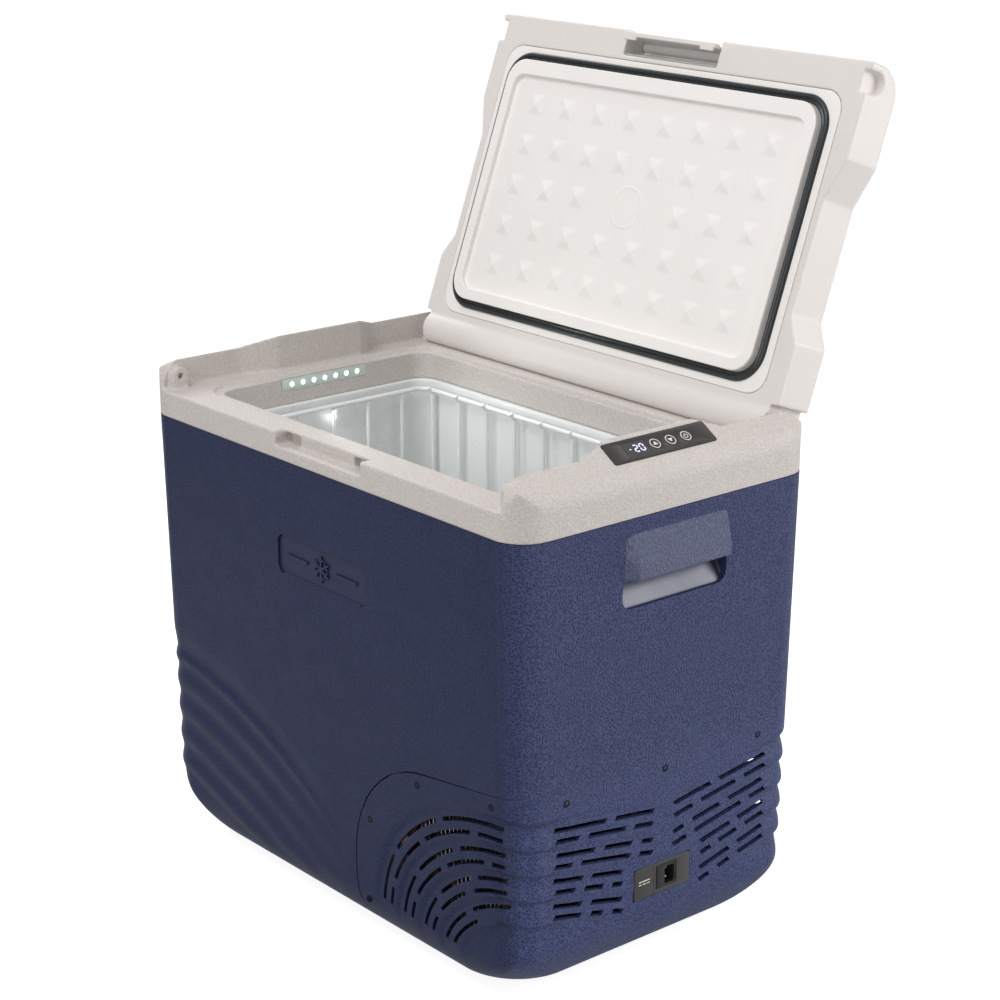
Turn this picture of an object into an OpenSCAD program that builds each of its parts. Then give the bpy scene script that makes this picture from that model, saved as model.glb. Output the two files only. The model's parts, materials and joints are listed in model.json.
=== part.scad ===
// Compressor cooler fridge with a hinged lid, end handles and a louvred machine compartment.
// +X is the handle end with the controls, -Y is the front with the latch, +Z is up.
// The origin is on the floor, under the middle of the cabinet. The lid stands open.

/* [Cabinet] */
// Length of the cabinet over its ends
body_l = 580; // [560:1:620]
// Depth of the cabinet, front to rear
body_d = 364.8; // [350:0.2:400]
// Height of the seam between the cabinet and the top frame
seam_z = 460.5; // [455:0.5:466]
// Height of the ledge that the lid closes on
ledge_z = 487.3; // [484:0.1:490]
// Wall thickness of the moulded cabinet
wall = 2.6; // [2:0.1:4]
// Radius of the vertical corners
corner_r = 33; // [25:1:40]
// Radius between the ends and the underside
end_bottom_r = 74; // [60:1:80]
// Radius between the front or rear and the underside
side_bottom_r = 51; // [40:1:56]
// Height of the rubber feet
foot_h = 4; // [3:0.5:6]

/* [Lid] */
// Depth position of the hinge axis
hinge_y = 164; // [160:0.5:166]
// Height of the hinge axis
hinge_z = 500.2; // [499:0.1:502]
// How far the lid opens, in degrees
lid_open = 110; // [0:1:110]
// Half length of the lid between the shoulders
lid_half = 262.5; // [260:0.5:264]
// Height of the top of the closed lid
lid_top = 533; // [528:1:540]
// Diameter of the hinge pins
hinge_pin_d = 6; // [5:0.5:8]
// Diameter of the latch pin
latch_pin_d = 4; // [3:0.5:5]

/* [Inside] */
// Half length of the liner
liner_half = 226; // [220:1:228]
// Height of the deep floor of the liner
floor_z = 46; // [42:1:60]
// Height of the raised floor over the machine compartment
step_z = 216; // [212:1:230]
// Where the raised floor starts
step_x = 88; // [80:1:92]
// Spacing of the basket wires
wire_pitch = 45; // [40:1:50]
// Diameter of the basket wires
wire_d = 4.6; // [3:0.1:5]

/* [Controls] */
// Tilt of the control panel, in degrees
panel_tilt = 31.8; // [28:0.1:36]
// Length of the control panel
panel_l = 125; // [115:1:130]
// Width of the control panel
panel_w = 25; // [22:0.5:26]
// Diameter of a button
button_d = 13; // [10:0.5:14]
// Travel of a button
button_travel = 0.6; // [0.4:0.1:0.8]

/* [Hidden] */
$fn = 48;

half_l = body_l / 2;
half_d = body_d / 2;
shell_z = foot_h;

// Opening of the top frame and of the liner
open_x = 230;
open_front = -138.5;
open_rear = 129;
open_r = 22;
throat_z = 456;
liner_wall = 2;

// Shoulders beside the lid
bulge_x = 250;
shoulder_top = 524.5;
shoulder_slope = 0.62;
shoulder_r = 25.4;
boss_in = 254.8;
boss_r = 9;

// Lid
flange_z = ledge_z + 0.6;
lid_wall = 2.6;
lid_rear_y = hinge_y + 5;
knuckle_r = 18.4;
trough_r = 19.4;
panel_x = 240;
panel_front = -151;
panel_rear = 143;
plug_x = 222;
plug_front = -135.5;
plug_rear = 126;
plug_z = flange_z - 9;
plug_floor = flange_z - 3;
gasket_h = 3.2;
notch_x = 67;
latch_y = -171;
latch_z = 517;

// Machine compartment
bay_x = 114;
bay_top = 192;
fan_x = 196;
fan_z = 92;
fan_y = -124;
comp_x = 190;
comp_y = 14;
comp_r = 47;
screw_r = 3.6;
panel_c = [half_l - 24.5, 4, shoulder_top - shoulder_slope * (half_l - 24.5 - bulge_x)];

// ---------- shared shapes ----------

// Rounded rectangle between two corners
module round_rect(x0, y0, x1, y1, r) {
    translate([x0 + r, y0]) square([x1 - x0 - 2 * r, y1 - y0]);
    translate([x0, y0 + r]) square([x1 - x0, y1 - y0 - 2 * r]);
    for (x = [x0 + r, x1 - r], y = [y0 + r, y1 - r]) translate([x, y]) circle(r);
}

// Rounded block between two corners, from z0 to z1
module round_block(x0, y0, x1, y1, r, z0, z1) {
    translate([0, 0, z0]) linear_extrude(z1 - z0) round_rect(x0, y0, x1, y1, r);
}

// Box between two opposite corners
module box(a, b) {
    translate(a) cube(b - a);
}

// Turns a drawing of X against Z into a solid that runs from y0 to y1
module along_y(y0, y1) {
    translate([0, y1, 0]) rotate([90, 0, 0]) linear_extrude(y1 - y0) children();
}

// Turns a drawing of Y against Z into a solid that runs from x0 to x1
module along_x(x0, x1) {
    translate([x0, 0, 0]) rotate([90, 0, 90]) linear_extrude(x1 - x0) children();
}

module rod_x(x0, x1, y, z, r) {
    translate([x0, y, z]) rotate([0, 90, 0]) cylinder(r = r, h = x1 - x0);
}

module rod_y(x, y0, y1, z, r) {
    translate([x, y0, z]) rotate([-90, 0, 0]) cylinder(r = r, h = y1 - y0);
}

// U-shaped outline of a body whose bottom edges have radius r
module bottom_profile(half, z0, z1, r) {
    translate([-half, z0 + r]) square([2 * half, z1 - z0 - r]);
    translate([-half + r, z0]) square([2 * half - 2 * r, r + 1]);
    for (x = [-half + r, half - r]) translate([x, z0 + r]) circle(r, $fn = 96);
}

// Body of the cabinet, set in by a distance, up to z1
module cabinet_solid(inset, z1) {
    z0 = shell_z + inset;
    intersection() {
        along_y(-half_d, half_d) bottom_profile(half_l - inset, z0, z1, end_bottom_r - inset);
        along_x(-half_l, half_l) bottom_profile(half_d - inset, z0, z1, side_bottom_r - inset);
        round_block(-half_l + inset, -half_d + inset, half_l - inset, half_d - inset,
                    corner_r - inset, z0 - 1, z1 + 1);
    }
}

// Block as deep as the cabinet behind the outline of the louvred cover, grown by a gap
module cover_block(gap) {
    r = 120.5 + gap;
    rod_y(165, -half_d - 1, half_d + 1, 86, r);
    along_y(-half_d - 1, half_d + 1)
        polygon([[165, 86], [165 - r * sin(7.6), 86 + r * cos(7.6)],
                 [half_l + 5, 225.4 + gap], [half_l + 5, -5], [56 - gap, -5], [165 - r, 64], [165 - r, 86]]);
}

// Region of the cabinet wall that the louvred cover replaces
module cover_region(gap) {
    difference() {
        cover_block(gap);
        box([0, -128 + gap, 0], [206 - gap, 128 - gap, 30]);
    }
}

// ---------- louvres ----------

// Height of the outer end of a row, from the top row 0 to the bottom row 7
function row_z(k) = 186 - 25.2 * floor(k / 2) - 10.6 * (k % 2);

// Height of a row of the end louvres at distance u from the middle
function end_row_z(k, u) = row_z(k) - (136 - u) * (0.125 + 0.012 * k) - pow((136 - u) / 125, 2) * (0.6 + 0.8 * k);

// A run of louvre along a row of the end face, between two distances from the middle
module end_run(k, u0, u1, h) {
    um = (u0 + u1) / 2;
    polygon([[u0, end_row_z(k, u0) - h], [um, end_row_z(k, um) - h], [u1, end_row_z(k, u1) - h],
             [u1 - 3, end_row_z(k, u1)], [um, end_row_z(k, um)], [u0 - 3, end_row_z(k, u0)]]);
}

// Louvre openings of one half of the end face, drawn with Y across and Z up
module end_rows() {
    h = 4.6;
    for (k = [0, 4]) {
        end_run(k, k == 0 ? 14.5 : 52, k == 0 ? 62.5 : 90.5, h);
        end_run(k, k == 0 ? 74 : 101, 136, h);
    }
    for (k = [1, 5]) {
        end_run(k, k == 1 ? 15 : 52, k == 1 ? 39 : 65, h);
        end_run(k, k == 1 ? 50 : 76, k == 1 ? 95.5 : 99.5, h);
        end_run(k, k == 1 ? 107 : 111, 135, h);
    }
    for (k = [2, 6]) {
        end_run(k, k == 2 ? 14.5 : 52, k == 2 ? 28.5 : 90.5, h);
        end_run(k, k == 2 ? 40.5 : 102, k == 2 ? 75.5 : 136, h);
    }
    end_run(2, 87.5, 133, h);
    for (k = [3, 7]) {
        end_run(k, k == 3 ? 14.5 : 51, k == 3 ? 32 : 64, h);
        end_run(k, k == 3 ? 43 : 76, k == 3 ? 104 : 91, h);
        end_run(k, k == 3 ? 115 : 103, 136, h);
    }
}

// Half axes and bend of the curved rows on the front and rear
function arc_a(k) = 183 - 31.5 * floor(k / 2) - 12 * (k % 2);
function arc_b(k) = row_z(k) + 5.5 - 49;
function arc_pow(k) = 2 - 0.08 * k;
function arc_x(k, t, g) = 268 - (arc_a(k) - g) * pow(cos(t), 2 / arc_pow(k));
function arc_z(k, t, g) = 49 + (arc_b(k) - g) * pow(sin(t), 2 / arc_pow(k));

// A run of louvre along a curved row, between two angles
module arc_run(k, t0, t1) {
    n = 4;
    g = 4.4;
    ts = [for (i = [0:n]) t0 + (t1 - t0) * i / n];
    polygon([for (t = ts) [arc_x(k, t, 0), arc_z(k, t, 0)],
             for (i = [n:-1:0]) [arc_x(k, ts[i], g), arc_z(k, ts[i], g)]]);
}

// Louvre openings of the front or rear face, drawn with X across and Z up
module arc_rows() {
    arc_run(0, 2, 24);
    arc_run(0, 28, 56);
    arc_run(0, 60, 88);
    arc_run(1, 2, 11);
    arc_run(1, 16, 42);
    arc_run(1, 46, 72);
    arc_run(1, 76, 88);
    arc_run(2, 2, 26);
    arc_run(2, 31, 57);
    arc_run(2, 62, 88);
    arc_run(3, 2, 14);
    arc_run(3, 20, 45);
    arc_run(3, 50, 75);
    arc_run(3, 80, 88);
    arc_run(4, 3, 28);
    arc_run(4, 34, 60);
    arc_run(4, 66, 88);
    arc_run(5, 3, 18);
    arc_run(5, 26, 52);
    arc_run(5, 60, 88);
    arc_run(6, 4, 42);
    arc_run(6, 50, 88);
    arc_run(7, 5, 50);
}

// Places of the cover screws on the front, X against Z, and on the end, Y against Z
front_screws = [[68, 131], [142, 192], [249, 207.5]];
end_screws = [[-122, 207.5], [0, 207.5], [122, 207.5]];

// ---------- cabinet ----------

module handle_hole(grow) {
    round_block(-70 - grow, 367 - grow, 70 + grow, 449 + grow, 14 + grow, half_l - 40, half_l + 1);
}

// Turns a shape drawn with Y across, Z up and X outward into place on the +X end
module on_end() {
    rotate([90, 0, 90]) children();
}

module outer_shell() color([0.17, 0.21, 0.37]) difference() {
    cabinet_solid(0, seam_z);
    cabinet_solid(wall, seam_z + 1);
    cover_region(0.3);
    on_end() handle_hole(0);
    mirror([1, 0, 0]) on_end() handle_hole(0);
    along_y(-half_d - 1, -half_d + 1.2) round_rect(-69, 347, 69, 387, 12);
}

module vent_cover() color([0.17, 0.21, 0.37]) difference() {
    intersection() {
        cabinet_solid(0, seam_z);
        cover_region(-0.3);
    }
    cabinet_solid(wall, seam_z + 1);
    for (s = [0, 1]) mirror([0, s, 0]) {
        along_y(-half_d - 1, -half_d + 12) arc_rows();
        along_x(half_l - 12, half_l + 1) end_rows();
        for (p = front_screws) rod_y(p[0], -half_d - 1, -half_d + 12, p[1], 1.6);
    }
    for (p = end_screws) rod_x(half_l - 12, half_l + 1, p[0], p[1], 1.6);
    box([half_l - 12, -36, 80.5], [half_l + 1, 36, 113]);
}

// Cross-section of a shoulder at the +X end, X against Z
module shoulder_profile() {
    cx = half_l - shoulder_r;
    tip_x = cx + shoulder_r * sin(panel_tilt);
    tip_z = shoulder_top - shoulder_slope * (tip_x - bulge_x);
    cz = tip_z - shoulder_r * cos(panel_tilt);
    polygon([[bulge_x - 1, seam_z], [bulge_x - 1, shoulder_top + shoulder_slope], [tip_x, tip_z],
             [cx, cz], [half_l, cz], [half_l, seam_z]]);
    translate([cx, cz]) circle(shoulder_r, $fn = 96);
}

// Length profile of the shoulders, Y against Z
module shoulder_side() {
    r = 30;
    cz = 489;
    for (s = [-1, 1]) translate([s * 150, cz]) circle(r, $fn = 96);
    polygon([[-180, seam_z], [-180, cz], [-150, cz], [-150, cz + r], [-100, 528], [100, 528],
             [150, cz + r], [150, cz], [180, cz], [180, seam_z]]);
}

// Plan of the space between the shoulders
module lid_bay(grow) {
    w = lid_half + grow;
    n = bulge_x - 1.5 + grow;
    far = half_d + 5;
    side = [[w, -far], [w, 2 * grow - 90], [n, 2 * grow - 50], [n, 61 - 2 * grow], [w, 86 - 2 * grow], [w, far]];
    polygon([for (p = side) p, for (i = [5:-1:0]) [-side[i][0], side[i][1]]]);
}

module hinge_boss(y) {
    rod_x(boss_in, lid_half + 2, y, hinge_z, boss_r);
    box([boss_in, y - boss_r, ledge_z - 8], [lid_half + 2, y + boss_r, hinge_z]);
}

module top_frame() color([0.84, 0.80, 0.77]) difference() {
    union() {
        round_block(-half_l, -half_d, half_l, half_d, corner_r, seam_z, ledge_z);
        for (s = [0, 1]) mirror([s, 0, 0]) {
            difference() {
                intersection() {
                    along_y(-half_d, half_d) shoulder_profile();
                    along_x(0, half_l) shoulder_side();
                    round_block(-half_l, -half_d, half_l, half_d, corner_r, seam_z, 540);
                }
                translate([0, 0, ledge_z]) linear_extrude(60) lid_bay(1);
            }
            for (y = [-hinge_y, hinge_y]) hinge_boss(y);
        }
        round_block(-open_x - 3, open_front - 3, open_x + 3, open_rear + 3, open_r + 3, throat_z, seam_z + 2);
    }
    round_block(-open_x, open_front, open_x, open_rear, open_r, throat_z - 1, ledge_z + 1);
    // shallow step around the opening that takes the gasket
    round_block(-open_x - 12, open_front - 10, open_x + 12, open_rear + 12, open_r + 11, ledge_z - 3.2, ledge_z + 1);
    // hollow underside between the skirt and the throat
    difference() {
        round_block(-half_l + 3, -half_d + 3, half_l - 3, half_d - 3, corner_r - 3, seam_z - 1, 471);
        round_block(-open_x - 3, open_front - 3, open_x + 3, open_rear + 3, open_r + 3, throat_z - 1, 472);
    }
    // trough behind the ledge for the lid knuckle
    rod_x(-boss_in + 0.5, boss_in - 0.5, hinge_y, hinge_z, trough_r);
    // latch recess with a hook pocket at each end
    box([-notch_x, -half_d - 1, 473.5], [notch_x, -169.4, ledge_z + 1]);
    for (s = [0, 1]) mirror([s, 0, 0]) {
        box([42, -175, 474], [notch_x, -160, 484]);
        rod_x(boss_in - 1, lid_half - 1.5, hinge_y, hinge_z, hinge_pin_d / 2);
        rod_x(boss_in - 1, lid_half - 1.5, -hinge_y, hinge_z, hinge_pin_d / 2);
    }
    // seat of the control panel and the space for its board
    at_panel() {
        box([-panel_w / 2, -panel_l / 2, -2.4], [panel_w / 2, panel_l / 2, 5]);
        box([-8, -panel_l / 2 + 6, -9], [8, panel_l / 2 - 6, 0]);
    }
    // seat of the lamp in the throat wall
    box([-open_x - 2, -58, 470.5], [-open_x + 1, 50, 483]);
}

module at_panel() {
    translate(panel_c) rotate([0, panel_tilt, 0]) children();
}

module liner_profile(grow) {
    polygon([[-liner_half - grow, floor_z - grow], [step_x + grow, floor_z - grow],
             [step_x + grow, step_z - grow], [liner_half + grow, step_z - grow],
             [liner_half + grow, throat_z], [-liner_half - grow, throat_z]]);
}

module liner_solid(grow, z1) {
    intersection() {
        along_y(-half_d, half_d) liner_profile(grow);
        round_block(-liner_half - grow, open_front + 4 - grow, liner_half + grow, open_rear - 4 + grow,
                    20 + grow, 0, z1);
    }
}

module inner_liner() color([0.88, 0.89, 0.88]) difference() {
    union() {
        liner_solid(liner_wall, throat_z);
        round_block(-open_x - 3, open_front - 3, open_x + 3, open_rear + 3, open_r + 3, throat_z - 2, throat_z);
    }
    liner_solid(0, throat_z);
    round_block(-liner_half, open_front + 4, liner_half, open_rear - 4, 20, throat_z - 5, throat_z + 1);
}

module insulation_foam() color([0.93, 0.89, 0.72]) difference() {
    union() {
        cabinet_solid(wall, seam_z);
        round_block(-half_l + 3.2, -half_d + 3.2, half_l - 3.2, half_d - 3.2, corner_r - 3.2, seam_z - 1, 470.8);
    }
    liner_solid(liner_wall, throat_z + 1);
    round_block(-open_x - 3, open_front - 3, open_x + 3, open_rear + 3, open_r + 3, throat_z - 2, 480);
    // room for the evaporator around the deep part of the liner
    box([-liner_half - 10.5, open_front - 6.5, 236], [liner_half + 10.5, open_rear + 6.5, 424]);
    // machine compartment
    box([bay_x - 2, -half_d, 0], [half_l, half_d, bay_top]);
    difference() {
        cover_block(1);
        cabinet_solid(14, 300);
    }
    // pockets of the handles
    for (s = [-1, 1]) box([s * (half_l - 17) - 24, -74, 362], [s * (half_l - 17) + 24, 74, 454]);
}

// Closed band of tube around the liner at one height
module tube_ring(z, r) {
    x = liner_half + 6.5;
    y0 = open_front - 2.5;
    y1 = open_rear + 2.5;
    c = 20;
    for (y = [y0, y1]) rod_x(-x + c, x - c, y, z, r);
    for (s = [-1, 1]) rod_y(s * x, y0 + c, y1 - c, z, r);
    for (p = [[x - c, y1 - c, 0], [-x + c, y1 - c, 90], [-x + c, y0 + c, 180], [x - c, y0 + c, 270]])
        translate([p[0], p[1], z]) rotate([0, 0, p[2]]) rotate_extrude(angle = 90) translate([c, 0]) circle(r);
}

module evaporator_jacket() color([0.78, 0.79, 0.8]) difference() {
    round_block(-liner_half - 3, open_front + 1, liner_half + 3, open_rear - 1, 23, 240, 420);
    round_block(-liner_half - 2, open_front + 2, liner_half + 2, open_rear - 2, 22, 239, 421);
}

module evaporator_tube() color([0.72, 0.74, 0.75]) {
    for (i = [0:4]) tube_ring(262 + 34 * i, 3);
    translate([liner_half + 6.5, 60, 254]) cylinder(r = 2.6, h = 152);
}

// ---------- machine compartment ----------

module machine_bulkhead() color([0.75, 0.76, 0.77]) {
    intersection() {
        box([bay_x, -168, 12], [bay_x + 2, 168, bay_top - 2]);
        cabinet_solid(8, 300);
    }
    intersection() {
        box([bay_x, -170, bay_top - 2], [half_l - 8, 170, bay_top]);
        round_block(-half_l, -172, half_l - 8, 172, 28, 0, 300);
    }
}

module base_plate() color([0.6, 0.62, 0.64]) difference() {
    union() {
        box([bay_x + 4, -140, 12], [238, 140, 14]);
        for (x = [bay_x + 16, 205], y = [-120, 120]) translate([x, y, shell_z + wall]) cylinder(r = 7, h = 6);
    }
    for (i = [0:2]) mount_at(i) translate([0, 0, 5]) cylinder(r = 3, h = 20);
}

// Three places around the compressor
module mount_at(i) {
    a = 60 + 120 * i;
    translate([comp_x + 40 * cos(a), comp_y + 40 * sin(a), 0]) children();
}

module compressor() color([0.12, 0.12, 0.13]) {
    difference() {
        union() {
            translate([comp_x, comp_y, 34]) cylinder(r = comp_r, h = 78, $fn = 96);
            translate([comp_x, comp_y, 112]) cylinder(r1 = comp_r, r2 = 30, h = 16, $fn = 96);
            translate([comp_x, comp_y, 28]) cylinder(r1 = 38, r2 = comp_r, h = 6, $fn = 96);
            for (i = [0:2]) mount_at(i) translate([0, 0, 26]) cylinder(r = 9, h = 2.5);
            translate([comp_x, comp_y, 26]) cylinder(r = 36, h = 2.5);
        }
        for (i = [0:2]) mount_at(i) translate([0, 0, 20]) cylinder(r = 3, h = 9);
    }
    translate([comp_x - 22, comp_y + comp_r - 6, 58]) cube([44, 16, 34]);
}

module compressor_mount(i) color([0.08, 0.08, 0.08]) mount_at(i) {
    translate([0, 0, 14]) cylinder(r = 8, h = 12);
    translate([0, 0, 11]) cylinder(r = 2.9, h = 16);
}

cond_x0 = 134;
cond_x1 = 252;
cond_y = -156;

module condenser_fins() color([0.8, 0.81, 0.82]) difference() {
    for (i = [0:20]) {
        x = cond_x0 + (cond_x1 - cond_x0) * i / 20;
        box([x - 0.5, cond_y - 11, 40], [x + 0.5, cond_y + 11, 176]);
    }
    for (j = [0:5]) rod_x(cond_x0 - 2, cond_x1 + 2, cond_y, 52 + 22 * j, 3.5);
}

module condenser_tube() color([0.75, 0.42, 0.26]) {
    for (j = [0:5]) rod_x(cond_x0 - 2, cond_x1 + 2, cond_y, 52 + 22 * j, 3.5);
    for (j = [0:4]) translate([j % 2 == 0 ? cond_x1 + 2 : cond_x0 - 2, cond_y, 63 + 22 * j])
        rotate([90, 0, 0]) rotate([0, 0, j % 2 == 0 ? -90 : 90])
            rotate_extrude(angle = 180) translate([11, 0]) circle(3.5);
}

module fan_frame() color([0.07, 0.07, 0.08]) difference() {
    union() {
        difference() {
            box([fan_x - 60, fan_y - 12.5, fan_z - 60], [fan_x + 60, fan_y + 12.5, fan_z + 60]);
            rod_y(fan_x, fan_y - 13, fan_y + 13, fan_z, 57);
        }
        rod_y(fan_x, fan_y + 9, fan_y + 12.5, fan_z, 20);
        for (a = [45:90:315]) translate([fan_x, 0, fan_z]) rotate([0, a, 0])
            box([18, fan_y + 9, -2.5], [58, fan_y + 12.5, 2.5]);
        rod_y(fan_x, fan_y - 6, fan_y + 10, fan_z, 3);
    }
    for (x = [-52, 52], z = [-52, 52]) rod_y(fan_x + x, fan_y - 13, fan_y + 13, fan_z + z, 2.2);
}

module fan_rotor() color([0.1, 0.1, 0.11]) difference() {
    union() {
        rod_y(fan_x, fan_y - 11, fan_y + 8, fan_z, 19);
        for (a = [0:40:320]) translate([fan_x, fan_y - 1.5, fan_z]) rotate([0, a, 0])
            rotate([35, 0, 0]) box([16, -1, -9], [54.5, 1, 9]);
    }
    rod_y(fan_x, fan_y - 8, fan_y + 9, fan_z, 3.05);
}

module drive_board() color([0.1, 0.32, 0.2]) {
    box([134, 118, 44], [246, 120, 130]);
    for (i = [0:2]) rod_y(154 + 22 * i, 108, 118, 110, 7);
    box([206, 104, 56], [238, 118, 76]);
}

module board_box() color([0.2, 0.2, 0.21]) difference() {
    box([128, 120, 38], [252, 152, 136]);
    box([131, 119, 41], [249, 149, 133]);
}

// Tube through a list of points, with ball-shaped bends
module tube(points, r) {
    for (i = [0:len(points) - 2]) {
        d = points[i + 1] - points[i];
        l = norm(d);
        translate(points[i]) rotate([0, acos(d[2] / l), atan2(d[1], d[0])]) cylinder(r = r, h = l);
    }
    for (i = [1:len(points) - 2]) translate(points[i]) sphere(r + 0.05);
}

module discharge_pipe() color([0.75, 0.42, 0.26])
    tube([[comp_x + 20, comp_y, 128], [comp_x + 20, comp_y, 174], [cond_x0 - 9, comp_y, 174],
          [cond_x0 - 9, cond_y, 174], [cond_x0 - 9, cond_y, 162], [cond_x0 - 2, cond_y, 162]], 3);

module suction_pipe() color([0.75, 0.42, 0.26])
    tube([[comp_x - 20, comp_y, 128], [comp_x - 20, comp_y, 150], [comp_x - 20, 66, 150],
          [comp_x + 74, 66, 150], [comp_x + 74, 66, 184]], 3.5);

module filter_drier() color([0.72, 0.45, 0.3]) {
    rod_x(140, 214, -76, 172, 9);
    rod_x(130, 140.5, -76, 172, 4);
    rod_x(213.5, 226, -76, 172, 3);
}

module wiring_harness() color([0.1, 0.35, 0.36])
    tube([[240, 100, 66], [262, 84, 66], [270, 30, 84], [half_l - 20, 9, 92]], 3);

// ---------- electrical inlet ----------

module dc_panel() color([0.13, 0.13, 0.14]) difference() {
    box([half_l - 3, -35.8, 80.7], [half_l + 0.6, 35.8, 112.8]);
    box([half_l - 4, -9, 84], [half_l + 1, 16, 110]);
}

module dc_socket() color([0.06, 0.06, 0.07]) difference() {
    box([half_l - 16, -8.8, 84.2], [half_l + 0.4, 15.8, 109.8]);
    box([half_l - 13, -3, 87], [half_l + 1, 11, 107]);
}

module dc_pin(i) color([0.85, 0.78, 0.55])
    rod_x(half_l - 13, half_l - 6, 4, i == 0 ? 102 : 92, 1.5);

// ---------- handles, feet, screws, badge ----------

// Handle drawn for the +X end: a pocket with an overhanging grip
module end_handle() color([0.2, 0.25, 0.42]) {
    difference() {
        on_end() round_block(-69.8, 367.2, 69.8, 448.8, 13.8, half_l - 38, half_l);
        on_end() round_block(-66.5, 370.5, 66.5, 445.5, 10.5, half_l - 35, half_l + 1);
    }
    along_x(half_l - 10, half_l + 8) polygon([[-60, 420], [60, 420], [64, 424], [57, 448.4], [-57, 448.4], [-64, 424]]);
}

// Four feet near the corners and a fifth under the middle
module foot(i) color([0.07, 0.07, 0.07]) {
    x = i == 5 ? 0 : i % 2 == 1 ? -185 : 185;
    y = i == 5 ? 0 : i < 3 ? -102 : 102;
    translate([x, y, 0]) cylinder(r = 15, h = foot_h);
}

module screw_y(x, z) {
    rod_y(x, -half_d - 0.9, -half_d, z, screw_r);
    rod_y(x, -half_d, -half_d + 9, z, 1.5);
}

module cover_screws_front() color([0.08, 0.08, 0.09])
    for (p = front_screws) screw_y(p[0], p[1]);

module cover_screws_rear() color([0.08, 0.08, 0.09])
    mirror([0, 1, 0]) for (p = front_screws) screw_y(p[0], p[1]);

module cover_screws_end() color([0.08, 0.08, 0.09])
    for (p = end_screws) {
        rod_x(half_l, half_l + 0.9, p[0], p[1], screw_r);
        rod_x(half_l - 9, half_l, p[0], p[1], 1.5);
    }

module badge_plate() color([0.15, 0.19, 0.34]) {
    along_y(-half_d + 0.2, -half_d + 1.2) round_rect(-68.6, 347.4, 68.6, 386.6, 11.6);
    translate([0, -half_d + 0.2, 367]) for (a = [0:60:120]) rotate([0, a, 0])
        box([-14, -1.4, -1.6], [14, 0, 1.6]);
}

// ---------- control panel ----------

function button_y(i) = -5.8 + 19 * i;

module control_panel() color([0.2, 0.2, 0.21]) at_panel() difference() {
    box([-panel_w / 2 + 0.2, -panel_l / 2 + 0.2, -2.4], [panel_w / 2 - 0.2, panel_l / 2 - 0.2, 0.5]);
    for (i = [0:2]) translate([0, button_y(i), -3]) cylinder(r = button_d / 2 + 0.3, h = 5);
    box([-8.5, -43, -1], [8.5, -15, 1]);
}

module display_window() color([0.28, 0.27, 0.33]) at_panel()
    box([-8.3, -42.8, -1], [8.3, -15.2, 0.6]);

module display_board() color([0.1, 0.32, 0.2]) at_panel()
    box([-7.5, -panel_l / 2 + 8, -6.4], [7.5, panel_l / 2 - 8, -4.8]);

module button(i) color([0.22, 0.22, 0.23]) at_panel()
    translate([0, button_y(i), -3.6]) cylinder(r = button_d / 2, h = 4.5);

// ---------- lamp and probe ----------

module led_board() color([0.2, 0.4, 0.25])
    box([-open_x - 2, -56, 472.5], [-open_x - 1, 48, 481]);

module led_lens() color([0.9, 0.97, 0.95])
    box([-open_x - 1, -57.8, 470.7], [-open_x + 0.6, 49.8, 482.8]);

module temperature_probe() color([0.85, 0.85, 0.86])
    rod_y(liner_half - 2, -20, 20, 430, 2);

// ---------- basket ----------

basket_x = 218;
basket_y = 120;
basket_mid = -2;
basket_top = 448;
wire_r = wire_d / 2;
deep_z = floor_z + wire_r + 0.3;
raised_z = step_z + wire_r + 0.3;
riser_x = step_x - 10;
cross_at = [for (i = [-4.5:1:4.5]) i * wire_pitch];
long_at = [for (j = [-2:1:2]) j * wire_pitch];

// Upright wire from z0 up to z1
module upright(x, y, z0, z1) {
    translate([x, y, z0]) cylinder(r = wire_r, h = z1 - z0, $fn = 24);
}

// Every upright of the basket's four sides
module uprights() {
    for (x = cross_at, s = [-1, 1])
        upright(x, s * basket_y, (x < riser_x ? deep_z : raised_z) - wire_r, basket_top);
    for (y = long_at) {
        upright(-basket_x, y, deep_z - wire_r, basket_top);
        upright(basket_x, y, raised_z - wire_r, basket_top);
    }
}

// Front side for s = -1, rear side for s = 1
module basket_long_side(s) color([0.9, 0.91, 0.91]) translate([0, basket_mid, 0]) {
    intersection() {
        uprights();
        translate([0, s * basket_y, 0]) box([-basket_x, -wire_r - 1, 0], [basket_x, wire_r + 1, 500]);
    }
    translate([0, s * basket_y, 0]) box([-217.5, -2.5, basket_top - 2.5], [217.5, 2.5, basket_top + 2.5]);
}

// Left end for s = -1, right end for s = 1
module basket_end(s) color([0.9, 0.91, 0.91]) translate([0, basket_mid, 0]) {
    for (y = long_at) upright(s * basket_x, y, (s < 0 ? deep_z : raised_z) - wire_r, basket_top);
    translate([s * basket_x, 0, 0]) box([-2.5, -117.5, basket_top - 2.5], [2.5, 117.5, basket_top + 2.5]);
}

// Flat grid of wires between two uprights, at one height
module grid(x0, x1, z) {
    w = basket_y - wire_r;
    for (x = cross_at) if (x > x0 && x < x1) rod_y(x, -w, w, z, wire_r);
    for (y = long_at) rod_x(x0 + wire_r, x1 - wire_r, y, z, wire_r - 0.15);
}

module basket_floor() color([0.9, 0.91, 0.91]) translate([0, basket_mid, 0])
    grid(-basket_x, riser_x, deep_z);

module basket_step() color([0.9, 0.91, 0.91]) translate([0, basket_mid, 0])
    grid(riser_x, basket_x, raised_z);

// Upright grid between the two floors
module riser() {
    for (y = long_at) upright(riser_x, y, deep_z - wire_r, raised_z + wire_r);
    for (z = [90, 135, 180]) rod_y(riser_x, long_at[0], long_at[4], z, wire_r - 0.15);
}

module basket_riser() color([0.9, 0.91, 0.91]) translate([0, basket_mid, 0]) riser();

// ---------- lid ----------

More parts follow.
